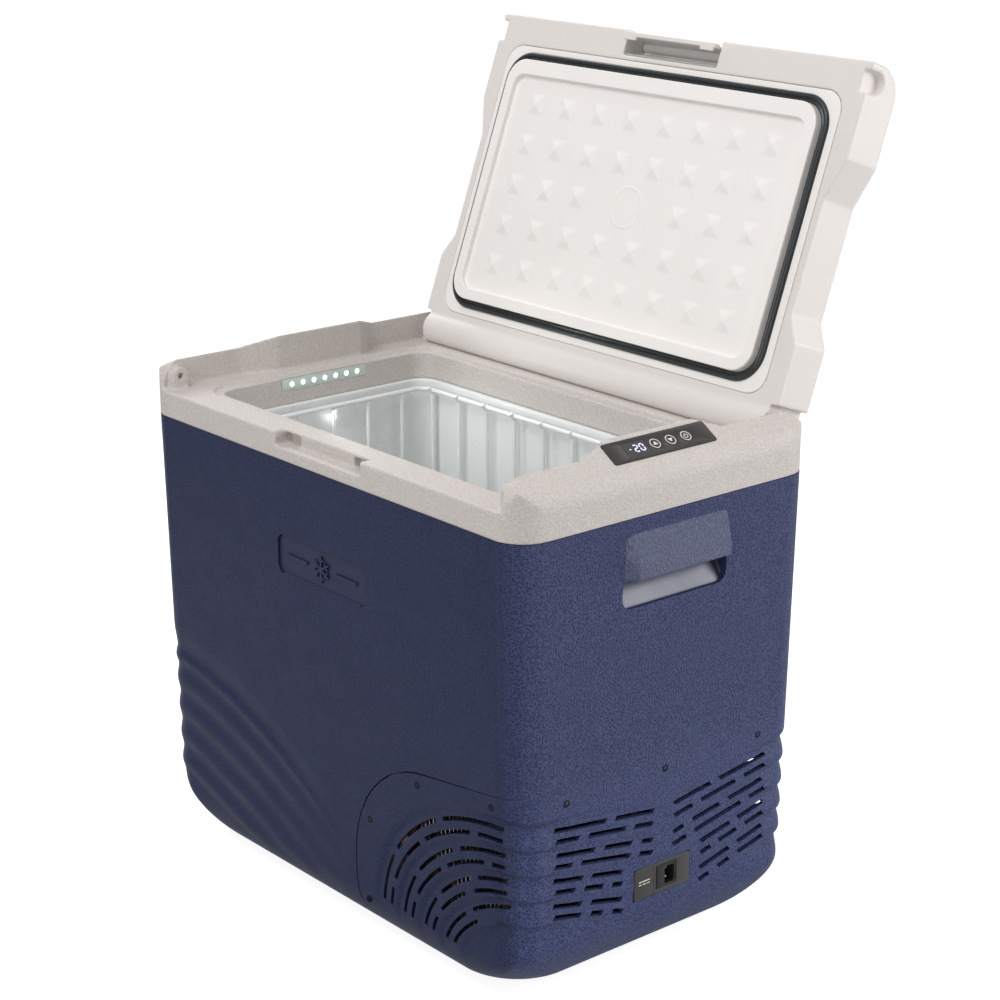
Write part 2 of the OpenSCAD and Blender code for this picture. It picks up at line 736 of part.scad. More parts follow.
// Places a shape drawn with the lid closed in its opened position
module opened() {
    translate([0, hinge_y, hinge_z]) rotate([-lid_open, 0, 0]) translate([0, -hinge_y, -hinge_z]) children();
}

// Closed lid without its plan, set in by t: a front edge of radius 30, a rear edge of radius 12
// and the knuckle around the hinge axis
module lid_section(t) {
    f = 30 - t;
    b = 12 - t;
    top = lid_top - t;
    along_x(-300, 300)
        polygon([[-half_d + t, flange_z + t], [-half_d + t, top - f], [-half_d + t + f, top - f],
                 [-half_d + t + f, top], [lid_rear_y - t - b, top], [lid_rear_y - t - b, top - b],
                 [lid_rear_y - t, top - b], [lid_rear_y - t, hinge_z], [hinge_y - 13 - t, flange_z + t]]);
    intersection() {
        rod_x(-300, 300, -half_d + t + f, top - f, f);
        box([-300, -half_d, flange_z + t], [300, 0, top]);
    }
    rod_x(-300, 300, lid_rear_y - t - b, top - b, b);
    rod_x(-300, 300, hinge_y, hinge_z, knuckle_r - t);
}

// Plan of the lid, with its waisted sides and its rear corners cut for the bosses
module lid_plan(t) {
    difference() {
        intersection() {
            lid_bay(-t);
            translate([-300, -half_d + t]) square([600, 400]);
        }
        for (s = [0, 1]) mirror([s, 0]) translate([boss_in - 0.8 - t, hinge_y - 17.5 - t]) square([30, 60]);
    }
}

module lid_block(t) {
    intersection() {
        lid_section(t);
        translate([0, 0, 470]) linear_extrude(80) lid_plan(t);
    }
}

module latch_notch(grow) {
    box([-notch_x - grow, -half_d - 5, 470], [notch_x + grow, -156 + grow, 527 + grow]);
    box([-notch_x - grow, -half_d - 5, 470], [notch_x + grow, -174 + grow, 550]);
}

module boss_pocket(grow) {
    for (s = [0, 1]) mirror([s, 0, 0]) {
        box([boss_in - 0.8 - grow, -174.8 - grow, 480], [300, -153.2 + grow, hinge_z]);
        rod_x(boss_in - 0.8 - grow, 300, -hinge_y, hinge_z, 10.8 + grow);
    }
}

module lid_shell() color([0.9, 0.87, 0.84]) opened() difference() {
    lid_block(0);
    difference() {
        lid_block(lid_wall);
        latch_notch(lid_wall);
        boss_pocket(lid_wall);
        for (s = [-1, 1]) rod_x(s * 246 - 12, s * 246 + 12, hinge_y, hinge_z, 11);
    }
    latch_notch(0);
    boss_pocket(0);
    round_block(-panel_x, panel_front, panel_x, panel_rear, 22, 480, flange_z + lid_wall + 1);
    for (s = [-1, 1]) rod_x(s * 250 - 10, s * 250 + 10, hinge_y, hinge_z, hinge_pin_d / 2 + 0.05);
    rod_x(-notch_x - 4, notch_x + 4, latch_y, latch_z, latch_pin_d / 2);
}

module lid_foam() color([0.93, 0.89, 0.72]) opened() difference() {
    lid_block(lid_wall + 0.3);
    latch_notch(lid_wall + 0.3);
    boss_pocket(lid_wall + 0.3);
    rod_x(-300, 300, hinge_y, hinge_z, knuckle_r + 3);
    box([-300, hinge_y - 22, 470], [300, 200, lid_top - 12]);
    box([-300, -200, 470], [300, 200, flange_z + lid_wall + 1]);
}

module lid_inner_panel() color([0.95, 0.93, 0.91]) opened() {
    difference() {
        union() {
            round_block(-panel_x + 0.3, panel_front + 0.3, panel_x - 0.3, panel_rear - 0.3, 21.7,
                        flange_z, flange_z + lid_wall);
            round_block(-plug_x, plug_front, plug_x, plug_rear, 24, plug_z, flange_z + 1);
        }
        round_block(-plug_x + 12, plug_front + 16, plug_x - 12, plug_rear - 12, 14, plug_z - 1, plug_floor);
    }
    for (i = [-3.5:1:3.5], j = [-2:1:2])
        if (!(j == 0 && abs(i) < 1)) translate([i * 48.9, -4 + j * 43.4, plug_floor + 0.2])
            rotate([0, 180, 0]) rotate([0, 0, 45]) cylinder(r1 = 16.5, r2 = 0.3, h = 3.2, $fn = 4);
    translate([0, -4, plug_floor - 0.6]) difference() {
        cylinder(r = 21, h = 1);
        translate([0, 0, -1]) cylinder(r = 20, h = 3);
    }
}

module lid_gasket() color([0.2, 0.21, 0.22]) opened() difference() {
    round_block(-plug_x - 10, plug_front - 9, plug_x + 10, plug_rear + 9, 32, flange_z - gasket_h, flange_z);
    round_block(-plug_x - 0.3, plug_front - 0.3, plug_x + 0.3, plug_rear + 0.3, 24.3, flange_z - 7, flange_z + 1);
}

module latch_backplate() color([0.66, 0.7, 0.69]) opened()
    box([-notch_x + 2, -158, flange_z + 1], [notch_x - 2, -156, 520]);

module latch_pin() color([0.7, 0.7, 0.72]) opened()
    rod_x(-notch_x - 2.5, notch_x + 2.5, latch_y, latch_z, latch_pin_d / 2);

module latch_handle() color([0.86, 0.82, 0.79]) opened() difference() {
    union() {
        box([-65.5, -177, 484], [65.5, -174, 516]);
        box([-65.5, -178.4, 480], [65.5, -174, 487]);
        rod_x(-65.5, 65.5, latch_y, latch_z, 5.2);
        for (s = [-1, 1]) box([s * 55 - 9, -175, 480], [s * 55 + 9, -170.6, 483.4]);
    }
    rod_x(-70, 70, latch_y, latch_z, latch_pin_d / 2 + 0.05);
}

module hinge_pin(s) color([0.7, 0.7, 0.72])
    rod_x(s > 0 ? 243 : -lid_half + 1.5, s > 0 ? lid_half - 1.5 : -243, hinge_y, hinge_z, hinge_pin_d / 2);

// ---------- assembly ----------

outer_shell();
vent_cover();
top_frame();
inner_liner();
insulation_foam();
evaporator_jacket();
evaporator_tube();
machine_bulkhead();
base_plate();
compressor();
for (i = [0:2]) compressor_mount(i);
condenser_fins();
condenser_tube();
fan_frame();
fan_rotor();
drive_board();
board_box();
discharge_pipe();
suction_pipe();
filter_drier();
wiring_harness();
dc_panel();
dc_socket();
for (i = [0:1]) dc_pin(i);
end_handle();  // handle_right
mirror([1, 0, 0]) end_handle();  // handle_left
for (i = [1:5]) foot(i);
cover_screws_front();
cover_screws_rear();
cover_screws_end();
badge_plate();
control_panel();
display_window();
display_board();
button(0);  // button_up
button(1);  // button_down
button(2);  // button_power
led_board();
led_lens();
temperature_probe();
basket_long_side(-1);  // basket_front
basket_long_side(1);  // basket_rear
basket_end(-1);  // basket_left
basket_end(1);  // basket_right
basket_floor();
basket_riser();
basket_step();
hinge_pin(-1);  // hinge_pin_left
hinge_pin(1);  // hinge_pin_right
lid_shell();
lid_foam();
lid_inner_panel();
lid_gasket();
latch_backplate();
latch_pin();
latch_handle();
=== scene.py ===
import json
import math

import bmesh
import bpy
import numpy as np
from mathutils import Matrix, Vector


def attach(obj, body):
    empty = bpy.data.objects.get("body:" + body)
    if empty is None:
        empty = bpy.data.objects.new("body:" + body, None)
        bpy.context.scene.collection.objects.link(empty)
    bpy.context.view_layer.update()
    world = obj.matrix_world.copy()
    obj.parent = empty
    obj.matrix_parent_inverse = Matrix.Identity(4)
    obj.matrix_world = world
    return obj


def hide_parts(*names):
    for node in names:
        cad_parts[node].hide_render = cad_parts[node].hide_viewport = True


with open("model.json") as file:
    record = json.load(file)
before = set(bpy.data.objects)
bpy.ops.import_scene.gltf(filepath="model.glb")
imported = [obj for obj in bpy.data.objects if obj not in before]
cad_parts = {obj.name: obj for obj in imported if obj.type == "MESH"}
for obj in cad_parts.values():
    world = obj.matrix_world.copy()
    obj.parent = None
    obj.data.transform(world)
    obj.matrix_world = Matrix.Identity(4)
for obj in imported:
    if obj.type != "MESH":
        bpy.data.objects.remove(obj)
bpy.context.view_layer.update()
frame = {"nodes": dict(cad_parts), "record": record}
nodes = frame["nodes"]

# Shapes are drawn in millimetres. Those that go through lid_part are drawn with the lid closed.
MM = 0.001
HALF_L, HALF_D = 290.0, 182.4  # the skin at its top, from the middle
BASE = 4.0  # underside of the skin
SEAM, LEDGE = 460.5, 487.3  # top of the skin, and the ledge under the lid
END_R, SIDE_R, CORNER_R = 74.0, 51.0, 33.0  # rounds of the underside, then the upright corners
DRAFT = 0.014  # lean of the walls, for each millimetre down
HINGE_Y, HINGE_Z, LID_OPEN = 164.0, 500.2, math.radians(110)
FLANGE = LEDGE + 0.6  # underside of the closed lid's rim
TILT = math.radians(31.8)  # slope of the control panel
PANEL_AT = (265.5, 4.0, 514.9)


# ---------- small tools ----------

def ease(a, b, x):
    """0 before a, 1 after b, smooth between them."""
    t = np.clip((x - a) / (b - a), 0.0, 1.0)
    return t * t * (3 - 2 * t)


def join(*parts):
    """One list of points and one of faces from several."""
    points, faces = [], []
    for p, f in parts:
        n = len(points)
        points += [tuple(map(float, q)) for q in p]
        faces += [tuple(i + n for i in g) for g in f]
    return points, faces


def moved(part, matrix):
    """The part with a matrix applied to its points."""
    return [tuple(matrix @ Vector(p)) for p in part[0]], part[1]


def mirrored(part, axis):
    """The part seen in a mirror across one axis, with its faces turned back outward."""
    points = [tuple(-v if i == axis else v for i, v in enumerate(p)) for p in part[0]]
    return points, [tuple(reversed(f)) for f in part[1]]


def prism(outline, axis, low, high):
    """Closed solid that runs along an axis. outline holds the two other coordinates, in their order."""
    n = len(outline)
    nexts = [outline[(i + 1) % n] for i in range(n)]
    area = sum(p[0] * q[1] - q[0] * p[1] for p, q in zip(outline, nexts))
    ring = list(outline) if area > 0 else list(reversed(outline))

    def place(a, b, c):
        return {"x": (c, a, b), "y": (a, c, b), "z": (a, b, c)}[axis]

    points = [place(a, b, low) for a, b in ring] + [place(a, b, high) for a, b in ring]
    faces = [tuple(reversed(range(n))), tuple(range(n, 2 * n))]
    faces += [(i, (i + 1) % n, n + (i + 1) % n, n + i) for i in range(n)]
    if axis == "y":
        faces = [tuple(reversed(f)) for f in faces]
    return points, faces


def rounded(x0, y0, x1, y1, r, steps=8):
    """Outline of a rounded rectangle."""
    out = []
    middles = ((x1 - r, y0 + r, -90), (x1 - r, y1 - r, 0), (x0 + r, y1 - r, 90), (x0 + r, y0 + r, 180))
    for cx, cy, start in middles:
        for i in range(steps + 1):
            a = math.radians(start + 90 * i / steps)
            out.append((cx + r * math.cos(a), cy + r * math.sin(a)))
    return out


def box(a, b):
    """Upright block between two opposite corners."""
    return prism([(a[0], a[1]), (b[0], a[1]), (b[0], b[1]), (a[0], b[1])], "z", a[2], b[2])


def circle(cx, cy, r, n=24):
    """Outline of a circle."""
    angles = [2 * math.pi * i / n for i in range(n)]
    return [(cx + r * math.cos(a), cy + r * math.sin(a)) for a in angles]


def walls(rows, n, start=0):
    """Faces between each row of n points and the next; every row closes on itself."""
    starts = [(start + k * n, start + (k + 1) * n) for k in range(rows - 1)]
    return [(a + i, a + (i + 1) % n, b + (i + 1) % n, b + i) for a, b in starts for i in range(n)]


def turned(profile, n=32):
    """Closed solid of revolution about Z from (radius, height) points that start and end on the axis."""
    points = [(0, 0, profile[0][1])]
    inner = profile[1:-1]
    for r, z in inner:
        points += [(x, y, z) for x, y in circle(0, 0, r, n)]
    points.append((0, 0, profile[-1][1]))
    last = len(points) - 1
    faces = [(0, 1 + (i + 1) % n, 1 + i) for i in range(n)] + walls(len(inner), n, 1)
    a = 1 + (len(inner) - 1) * n
    faces += [(a + i, a + (i + 1) % n, last) for i in range(n)]
    return points, faces


def stacked(rows):
    """Closed solid through rows of points, with an end face on the first and the last."""
    n, last = len(rows[0]), len(rows) - 1
    ends = [tuple(reversed(range(n))), tuple(range(last * n, (last + 1) * n))]
    return [p for row in rows for p in row], walls(len(rows), n) + ends


def ringed(rows):
    """Closed ring through rows of points, the last joined to the first."""
    n, last = len(rows[0]), len(rows) - 1
    faces = walls(len(rows), n) + [(last * n + i, last * n + (i + 1) % n, (i + 1) % n, i) for i in range(n)]
    return [p for row in rows for p in row], faces


def tube(path, r, n=10, closed=False):
    """Round wire along a list of points."""
    p = np.array(path, float)
    count = len(p)
    tangent = np.roll(p, -1, 0) - np.roll(p, 1, 0) if closed else np.gradient(p, axis=0)
    tangent /= np.linalg.norm(tangent, axis=1)[:, None]
    side = np.cross(tangent[0], (0.31, 0.2, 0.93))
    if np.linalg.norm(side) < 0.1:
        side = np.cross(tangent[0], (1.0, 0, 0))
    points = []
    for i in range(count):
        side = side - tangent[i] * np.dot(side, tangent[i])
        side /= np.linalg.norm(side)
        other = np.cross(tangent[i], side)
        for j in range(n):
            a = 2 * math.pi * j / n
            points.append(tuple(p[i] + r * (math.cos(a) * side + math.sin(a) * other)))
    rows = [points[i * n:(i + 1) * n] for i in range(count)]
    return ringed(rows) if closed else stacked(rows)


def bent(corners, r, steps=6):
    """Points along straight runs between corners, with each inner corner rounded to radius r."""
    c = [np.array(q, float) for q in corners]
    out = [c[0]]
    for i in range(1, len(c) - 1):
        a, b = c[i - 1] - c[i], c[i + 1] - c[i]
        a, b = a / np.linalg.norm(a), b / np.linalg.norm(b)
        half = math.acos(max(-1, min(1, float(np.dot(a, b))))) / 2
        reach = r / math.tan(half)
        middle = c[i] + (a + b) / np.linalg.norm(a + b) * (r / math.sin(half))
        p, q = c[i] + a * reach - middle, c[i] + b * reach - middle
        turn = math.pi - 2 * half
        for k in range(steps + 1):
            t = k / steps
            out.append(middle + (p * math.sin((1 - t) * turn) + q * math.sin(t * turn)) / math.sin(turn))
    return out + [c[-1]]


def band(outline_at, profile):
    """Closed ring: profile points (outward, height) carried round outline_at(outward)."""
    return ringed([[(x, y, z) for x, y in outline_at(w)] for w, z in profile])


def opened(point):
    """Where a point of the closed lid is when the lid stands open."""
    x, y, z = point
    y, z = y - HINGE_Y, z - HINGE_Z
    c, s = math.cos(-LID_OPEN), math.sin(-LID_OPEN)
    return x, y * c - z * s + HINGE_Y, y * s + z * c + HINGE_Z


def lid_part(part):
    """A part drawn on the closed lid, carried to where the lid stands open."""
    return [opened(p) for p in part[0]], part[1]


def spin(degrees, axis):
    """Matrix that turns a part about an axis."""
    return Matrix.Rotation(math.radians(degrees), 4, axis)


def on_panel(part):
    """A part drawn flat, X down the slope and Y along the panel, placed on the control panel's seat."""
    turn = Matrix.Translation(PANEL_AT) @ Matrix.Rotation(TILT, 4, "Y")
    return moved(part, turn)


def placed(data, name="work"):
    """A new object in the scene that shows a mesh, a lamp or a camera."""
    obj = bpy.data.objects.new(name, data)
    bpy.context.scene.collection.objects.link(obj)
    return obj


def raw(part):
    """A mesh object in metres from a part in millimetres, with its faces turned outward."""
    mesh = bpy.data.meshes.new("work")
    mesh.from_pydata([(x * MM, y * MM, z * MM) for x, y, z in part[0]], [], part[1])
    bm = bmesh.new()
    bm.from_mesh(mesh)
    bmesh.ops.recalc_face_normals(bm, faces=bm.faces)
    bm.to_mesh(mesh)
    bm.free()
    return placed(mesh)


def copy_of(node):
    """A new object with a CAD node's shape, its doubled corner points merged."""
    mesh = bpy.data.meshes.new("work")
    bm = bmesh.new()
    bm.from_mesh(nodes[node].data)
    bmesh.ops.remove_doubles(bm, verts=bm.verts, dist=1e-6)
    bmesh.ops.recalc_face_normals(bm, faces=bm.faces)
    bm.to_mesh(mesh)
    bm.free()
    mesh.materials.clear()
    return placed(mesh)


def bake(obj):
    """Applies the object's modifiers."""
    graph = bpy.context.evaluated_depsgraph_get()
    mesh = bpy.data.meshes.new_from_object(obj.evaluated_get(graph))
    obj.modifiers.clear()
    obj.data = mesh
    return obj


def combine(obj, part, operation):
    """Applies one boolean step between the object and a part."""
    tool = raw(part)
    m = obj.modifiers.new("combine", "BOOLEAN")
    m.operation, m.solver, m.object = operation, "MANIFOLD", tool
    bake(obj)
    bpy.data.objects.remove(tool)


def cut(obj, part, keep=False):
    """Removes a part from the object, or keeps only what is inside it."""
    combine(obj, part, "INTERSECT" if keep else "DIFFERENCE")


def unite(obj, part):
    """Adds a part to the object."""
    combine(obj, part, "UNION")


def soften(obj, voxel, rounds=3, share=1.0):
    """Rounds every edge as a mould does: an even mesh is smoothed, then thinned to a share of its faces."""
    m = obj.modifiers.new("even", "REMESH")
    m.mode, m.voxel_size, m.adaptivity = "VOXEL", voxel * MM, 0.0
    s = obj.modifiers.new("smooth", "SMOOTH")
    s.factor, s.iterations = 0.5, rounds
    if share < 1:
        d = obj.modifiers.new("thin", "DECIMATE")
        d.ratio = share
    return bake(obj)


def bevelled(obj, width, segments=2, angle=35):
    """Breaks every edge sharper than an angle with a small round."""
    m = obj.modifiers.new("bevel", "BEVEL")
    m.width, m.segments, m.limit_method, m.angle_limit = width * MM, segments, "ANGLE", math.radians(angle)
    bake(obj)


def finish_piece(obj, name, body, material, replaces=(), sharp=40):
    """Names the piece, shades it, gives it its finish and lets it ride on its body."""
    obj.name = obj.data.name = name
    obj.data.materials.clear()
    obj.data.materials.append(material)
    obj.data.shade_smooth()
    if sharp:
        obj.data.set_sharp_from_angle(angle=math.radians(sharp))
    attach(obj, body)
    if replaces:
        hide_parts(*replaces)


# ---------- finishes ----------

def shader(name, colour, rough, metal=0.0, coat=0.0, specular=0.5, glow=None, glow_strength=0.0):
    """A material and its Principled node, with the plain values set on the shader."""
    mat = bpy.data.materials.new(name)
    mat.use_nodes = True
    bsdf = mat.node_tree.nodes["Principled BSDF"]
    bsdf.inputs["Base Color"].default_value = (*colour, 1)
    bsdf.inputs["Roughness"].default_value = rough
    bsdf.inputs["Metallic"].default_value = metal
    bsdf.inputs["Coat Weight"].default_value = coat
    bsdf.inputs["Specular IOR Level"].default_value = specular
    if glow:
        bsdf.inputs["Emission Color"].default_value = (*glow, 1)
        bsdf.inputs["Emission Strength"].default_value = glow_strength
    return mat, bsdf


def node(mat, kind, **values):
    """A new shader node, with values given to its inputs or else to its settings."""
    n = mat.node_tree.nodes.new(kind)
    for key, value in values.items():
        if key in n.inputs:
            n.inputs[key].default_value = value
        else:
            setattr(n, key.lower(), value)
    return n


def link(mat, a, b):
    """Joins an output to an input."""
    mat.node_tree.links.new(a, b)


def noise(mat, scale, detail=3.0, rough=0.55):
    """Noise in the object's own metres."""
    where = node(mat, "ShaderNodeTexCoord")
    n = node(mat, "ShaderNodeTexNoise", Scale=scale, Detail=detail, Roughness=rough)
    link(mat, where.outputs["Object"], n.inputs["Vector"])
    return n.outputs["Fac"]


def cells(mat, scale, smoothness=0.6):
    """Soft-edged cells in the object's own metres."""
    where = node(mat, "ShaderNodeTexCoord")
    v = node(mat, "ShaderNodeTexVoronoi", feature="SMOOTH_F1")
    v.inputs["Scale"].default_value = scale
    v.inputs["Smoothness"].default_value = smoothness
    link(mat, where.outputs["Object"], v.inputs["Vector"])
    return v.outputs["Distance"]


def ramp(mat, value, low, high, a, b):
    """Maps a value from low..high to a..b, held at both ends."""
    m = node(mat, "ShaderNodeMapRange")
    m.clamp = True
    for i, v in enumerate((low, high, a, b)):
        m.inputs[i + 1].default_value = v
    link(mat, value, m.inputs[0])
    return m.outputs[0]


def times(mat, a, b):
    """Product of two values, each an output or a plain number."""
    m = node(mat, "ShaderNodeMath", operation="MULTIPLY")
    for i, v in enumerate((a, b)):
        if isinstance(v, float):
            m.inputs[i].default_value = v
        else:
            link(mat, v, m.inputs[i])
    return m.outputs[0]


def bump(mat, bsdf, height, depth, strength=1.0):
    """Fine relief of the surface, depth in metres."""
    b = node(mat, "ShaderNodeBump")
    b.inputs["Distance"].default_value = depth
    if isinstance(strength, float):
        b.inputs["Strength"].default_value = strength
    else:
        link(mat, strength, b.inputs["Strength"])
    link(mat, height, b.inputs["Height"])
    link(mat, b.outputs[0], bsdf.inputs["Normal"])


def tint(mat, bsdf, value, dark, light):
    """Base colour between two colours."""
    m = node(mat, "ShaderNodeMix", data_type="RGBA")
    m.inputs["A"].default_value = (*dark, 1)
    m.inputs["B"].default_value = (*light, 1)
    link(mat, value, m.inputs["Factor"])
    link(mat, m.outputs["Result"], bsdf.inputs["Base Color"])


def height_above(mat, low, high):
    """0 below a height and 1 above another, in metres."""
    where = node(mat, "ShaderNodeTexCoord")
    split = node(mat, "ShaderNodeSeparateXYZ")
    link(mat, where.outputs["Object"], split.inputs[0])
    return ramp(mat, split.outputs["Z"], low, high, 0.0, 1.0)


def field_mask(mat, half_length, half_depth):
    """1 on the shallow fields of the front and rear, 0 on the corners and ends."""
    where = node(mat, "ShaderNodeTexCoord")
    split = node(mat, "ShaderNodeSeparateXYZ")
    link(mat, where.outputs["Object"], split.inputs[0])
    sides = []
    for axis, low, high, a, b in (("X", half_length - 0.028, half_length, 1.0, 0.0),
                                  ("Y", half_depth, half_depth + 0.004, 0.0, 1.0)):
        size = node(mat, "ShaderNodeMath", operation="ABSOLUTE")
        link(mat, split.outputs[axis], size.inputs[0])
        sides.append(ramp(mat, size.outputs[0], low, high, a, b))
    return times(mat, *sides)


def grained(name, dark, light, rough, fine, coarse, depth, low=None, field=None, specular=0.5):
    """Moulded plastic with a pebble grain, which may start at a height and be finer on the fields, where its
    colour is also darkened as painted shade.
    """
    mat, bsdf = shader(name, light, rough, specular=specular)
    pebble, dust = cells(mat, coarse), noise(mat, fine, 2.0)
    mix = node(mat, "ShaderNodeMath", operation="ADD")
    link(mat, times(mat, pebble, 0.9), mix.inputs[0])
    link(mat, times(mat, dust, 0.6), mix.inputs[1])
    strength, lightness = 0.85, ramp(mat, mix.outputs[0], 0.38, 0.86, 0.0, 1.0)
    if low:
        strength = ramp(mat, height_above(mat, *low), 0.0, 1.0, 0.16, 0.85)
    # On the fields the grain is finer and the base colour is darkened: the darker colour is painted shade of
    # the front and rear faces.
    if field:
        field_grain_and_shade = ramp(mat, field_mask(mat, *field), 0.0, 1.0, 1.0, 0.25)
        strength, lightness = times(mat, strength, field_grain_and_shade), times(mat, lightness, field_grain_and_shade)
    bump(mat, bsdf, mix.outputs[0], depth, strength)
    tint(mat, bsdf, lightness, dark, light)
    link(mat, ramp(mat, noise(mat, 30.0), 0.3, 0.7, rough - 0.04, rough + 0.05), bsdf.inputs["Roughness"])
    return mat


def satin(name, colour, rough, depth=0.00004, scale=1400.0, metal=0.0, coat=0.0, spread=0.06, specular=0.5):
    """Smooth plastic, paint, rubber or metal with a fine surface and slight colour variation."""
    mat, bsdf = shader(name, colour, rough, metal, coat, specular)
    fine = noise(mat, scale, 2.0)
    bump(mat, bsdf, fine, depth, 0.6)
    slow = noise(mat, 18.0)
    dark, light = [c * (1 - spread) for c in colour], [min(1, c * (1 + spread)) for c in colour]
    tint(mat, bsdf, slow, dark, light)
    link(mat, ramp(mat, slow, 0.3, 0.7, max(0.02, rough - 0.05), rough + 0.05), bsdf.inputs["Roughness"])
    return mat


NAVY = ((0.006, 0.010, 0.042), (0.066, 0.084, 0.200))
BEIGE = ((0.55, 0.50, 0.475), (0.66, 0.61, 0.58))
# navy_shell is darkened on the front and rear fields as painted shade.
navy_shell = grained("navy_shell", *NAVY, 0.40, 1700.0, 540.0, 0.0016,
                     low=(0.17, 0.24), field=(0.286, 0.165), specular=0.25)
navy_grain = grained("navy_grain", *NAVY, 0.33, 1700.0, 540.0, 0.0013, specular=1.0)
navy_smooth = satin("navy_smooth", (0.034, 0.043, 0.108), 0.34, specular=0.9)
# The badge's navy is darkened to the fields' painted shade of the front.
navy_plate_painted_shade = satin("navy_plate_painted_shade", (0.020, 0.026, 0.068), 0.36, specular=0.3)
beige_grain = grained("beige_grain", *BEIGE, 0.46, 1700.0, 480.0, 0.0007)
lid_white = grained("lid_white", (0.76, 0.712, 0.685), (0.80, 0.752, 0.725), 0.40, 2600.0, 1300.0, 0.00007)
panel_white = satin("panel_white", (0.93, 0.892, 0.865), 0.36, 0.00003, 1800.0, spread=0.02)
liner_white = satin("liner_white", (0.84, 0.86, 0.855), 0.30, 0.00003, 900.0, spread=0.03)
foam_finish = satin("foam_yellow", (0.80, 0.68, 0.38), 0.85, 0.0005, 420.0, spread=0.12)
aluminium = satin("aluminium", (0.66, 0.67, 0.66), 0.32, 0.00005, 900.0, metal=1.0)
zinc = satin("zinc_steel", (0.55, 0.56, 0.57), 0.36, 0.00005, 700.0, metal=1.0, spread=0.12)
black_paint = satin("black_paint", (0.012, 0.012, 0.013), 0.34, 0.00004, 900.0, coat=0.2)
copper = satin("copper", (0.80, 0.36, 0.18), 0.26, 0.00004, 600.0, metal=1.0, spread=0.15)
black_plastic = satin("black_plastic", (0.014, 0.014, 0.015), 0.46, 0.00006, 1600.0)
board_green = satin("board_green", (0.02, 0.11, 0.05), 0.28, 0.00005, 800.0, coat=0.4, spread=0.25)
wire_teal = satin("wire_teal", (0.02, 0.17, 0.19), 0.42, 0.00003, 900.0)
dark_panel = satin("dark_panel", (0.045, 0.043, 0.041), 0.30, 0.00003, 2200.0, coat=0.15, spread=0.05)
brass = satin("brass", (0.72, 0.55, 0.26), 0.28, 0.00003, 900.0, metal=1.0)
coated_wire = satin("coated_wire", (0.90, 0.91, 0.905), 0.22, 0.00003, 700.0, coat=0.5, spread=0.03)
gasket_rubber = satin("gasket_rubber", (0.028, 0.031, 0.034), 0.30, 0.00005, 1200.0, spread=0.1)
foot_rubber = satin("foot_rubber", (0.03, 0.036, 0.07), 0.6, 0.0001, 1500.0)
rubber = satin("rubber", (0.012, 0.012, 0.012), 0.7, 0.0001, 1500.0)
grey_plastic = satin("grey_plastic", (0.40, 0.45, 0.44), 0.42, 0.00005, 1200.0)
sign_white = satin("sign_white", (0.80, 0.79, 0.76), 0.4, 0.00002, 900.0, spread=0.02)
screw_black = satin("screw_black", (0.006, 0.006, 0.007), 0.5, 0.00005, 900.0, specular=0.2)

CAD_FINISH = {
    "foam": foam_finish, "aluminium": aluminium, "sheet_steel": zinc, "black_paint": black_paint,
    "copper": copper, "black_plastic": black_plastic, "circuit_board": board_green,
    "lamp_lens": sign_white, "wire_cover": wire_teal, "dark_panel": dark_panel, "brass": brass,
    "display": dark_panel, "coated_wire": coated_wire, "gasket_rubber": gasket_rubber,
    "rubber": rubber, "grey_plastic": grey_plastic, "navy_plastic": navy_grain,
    "beige_plastic": beige_grain, "lid_plastic": lid_white, "liner_plastic": liner_white,
}
for row in frame["record"]["subparts"]:
    kept = nodes[row["node"]]
    kept.data.materials.clear()
    kept.data.materials.append(CAD_FINISH[row["material_slot"]])


# ---------- cabinet skin ----------

def sink(z, radius, inset):
    """How far a wall has curved inward at a height above the underside."""
    r = radius - inset
    u = np.clip((BASE + radius - z) / r, 0.0, 1.0)
    return r - r * np.sqrt(1 - u * u)


def skin_grid(heights, inset, front=260, side=150, corner=22):
    """Points of the cabinet wall: a rounded rectangle for each height, with draft and a round underside."""
    ax, ay, cx, cy = [], [], [], []
    for n, (a0, b0), (a1, b1), turn in ((front, (-1, -1), (1, -1), -90), (side, (1, -1), (1, 1), 0),
                                        (front, (1, 1), (-1, 1), 90), (side, (-1, 1), (-1, -1), 180)):
        for i in range(n):
            t = i / n
            ax.append(a0 + (a1 - a0) * t)
            ay.append(b0 + (b1 - b0) * t)
            cx.append(math.cos(math.radians(turn)))
            cy.append(math.sin(math.radians(turn)))
        for i in range(corner):
            angle = math.radians(turn + 90 * i / corner)
            ax.append(a1)
            ay.append(b1)
            cx.append(math.cos(angle))
            cy.append(math.sin(angle))
    ax, ay, cx, cy = (np.array(v)[None, :] for v in (ax, ay, cx, cy))
    z = np.array(heights)[:, None]
    draft = (SEAM - z) * DRAFT
    hx = HALF_L - inset - draft - sink(z, END_R, inset)
    hy = HALF_D - inset - draft - sink(z, SIDE_R, inset)
    r = CORNER_R - inset + 34 * (1 - ease(BASE, BASE + 60, z))
    x, y = ax * (hx - r) + cx * r, ay * (hy - r) + cy * r
    return np.stack([x, y, np.broadcast_to(z, x.shape)], -1)


# The louvre rows come in pairs. On the front they curve about one point, each as a quarter of an oval.
PERIOD = 25.2
ARC_X, ARC_Z = 268, 49


def row_z(k):
    """Height of a louvre row where it starts on the end face, next to the corner."""
    return 186 - PERIOD * (k // 2) - 10.6 * (k % 2)


def row_arc(k):
    """Half length, half height and power of the oval that a row follows on the front."""
    return 183 - 31.5 * (k // 2) - 12.0 * (k % 2), row_z(k) + 5.5 - ARC_Z, 2 - 0.08 * k


ROWS = np.arange(-1, 10)
ARC_A, ARC_B, ARC_POWER = row_arc(ROWS)


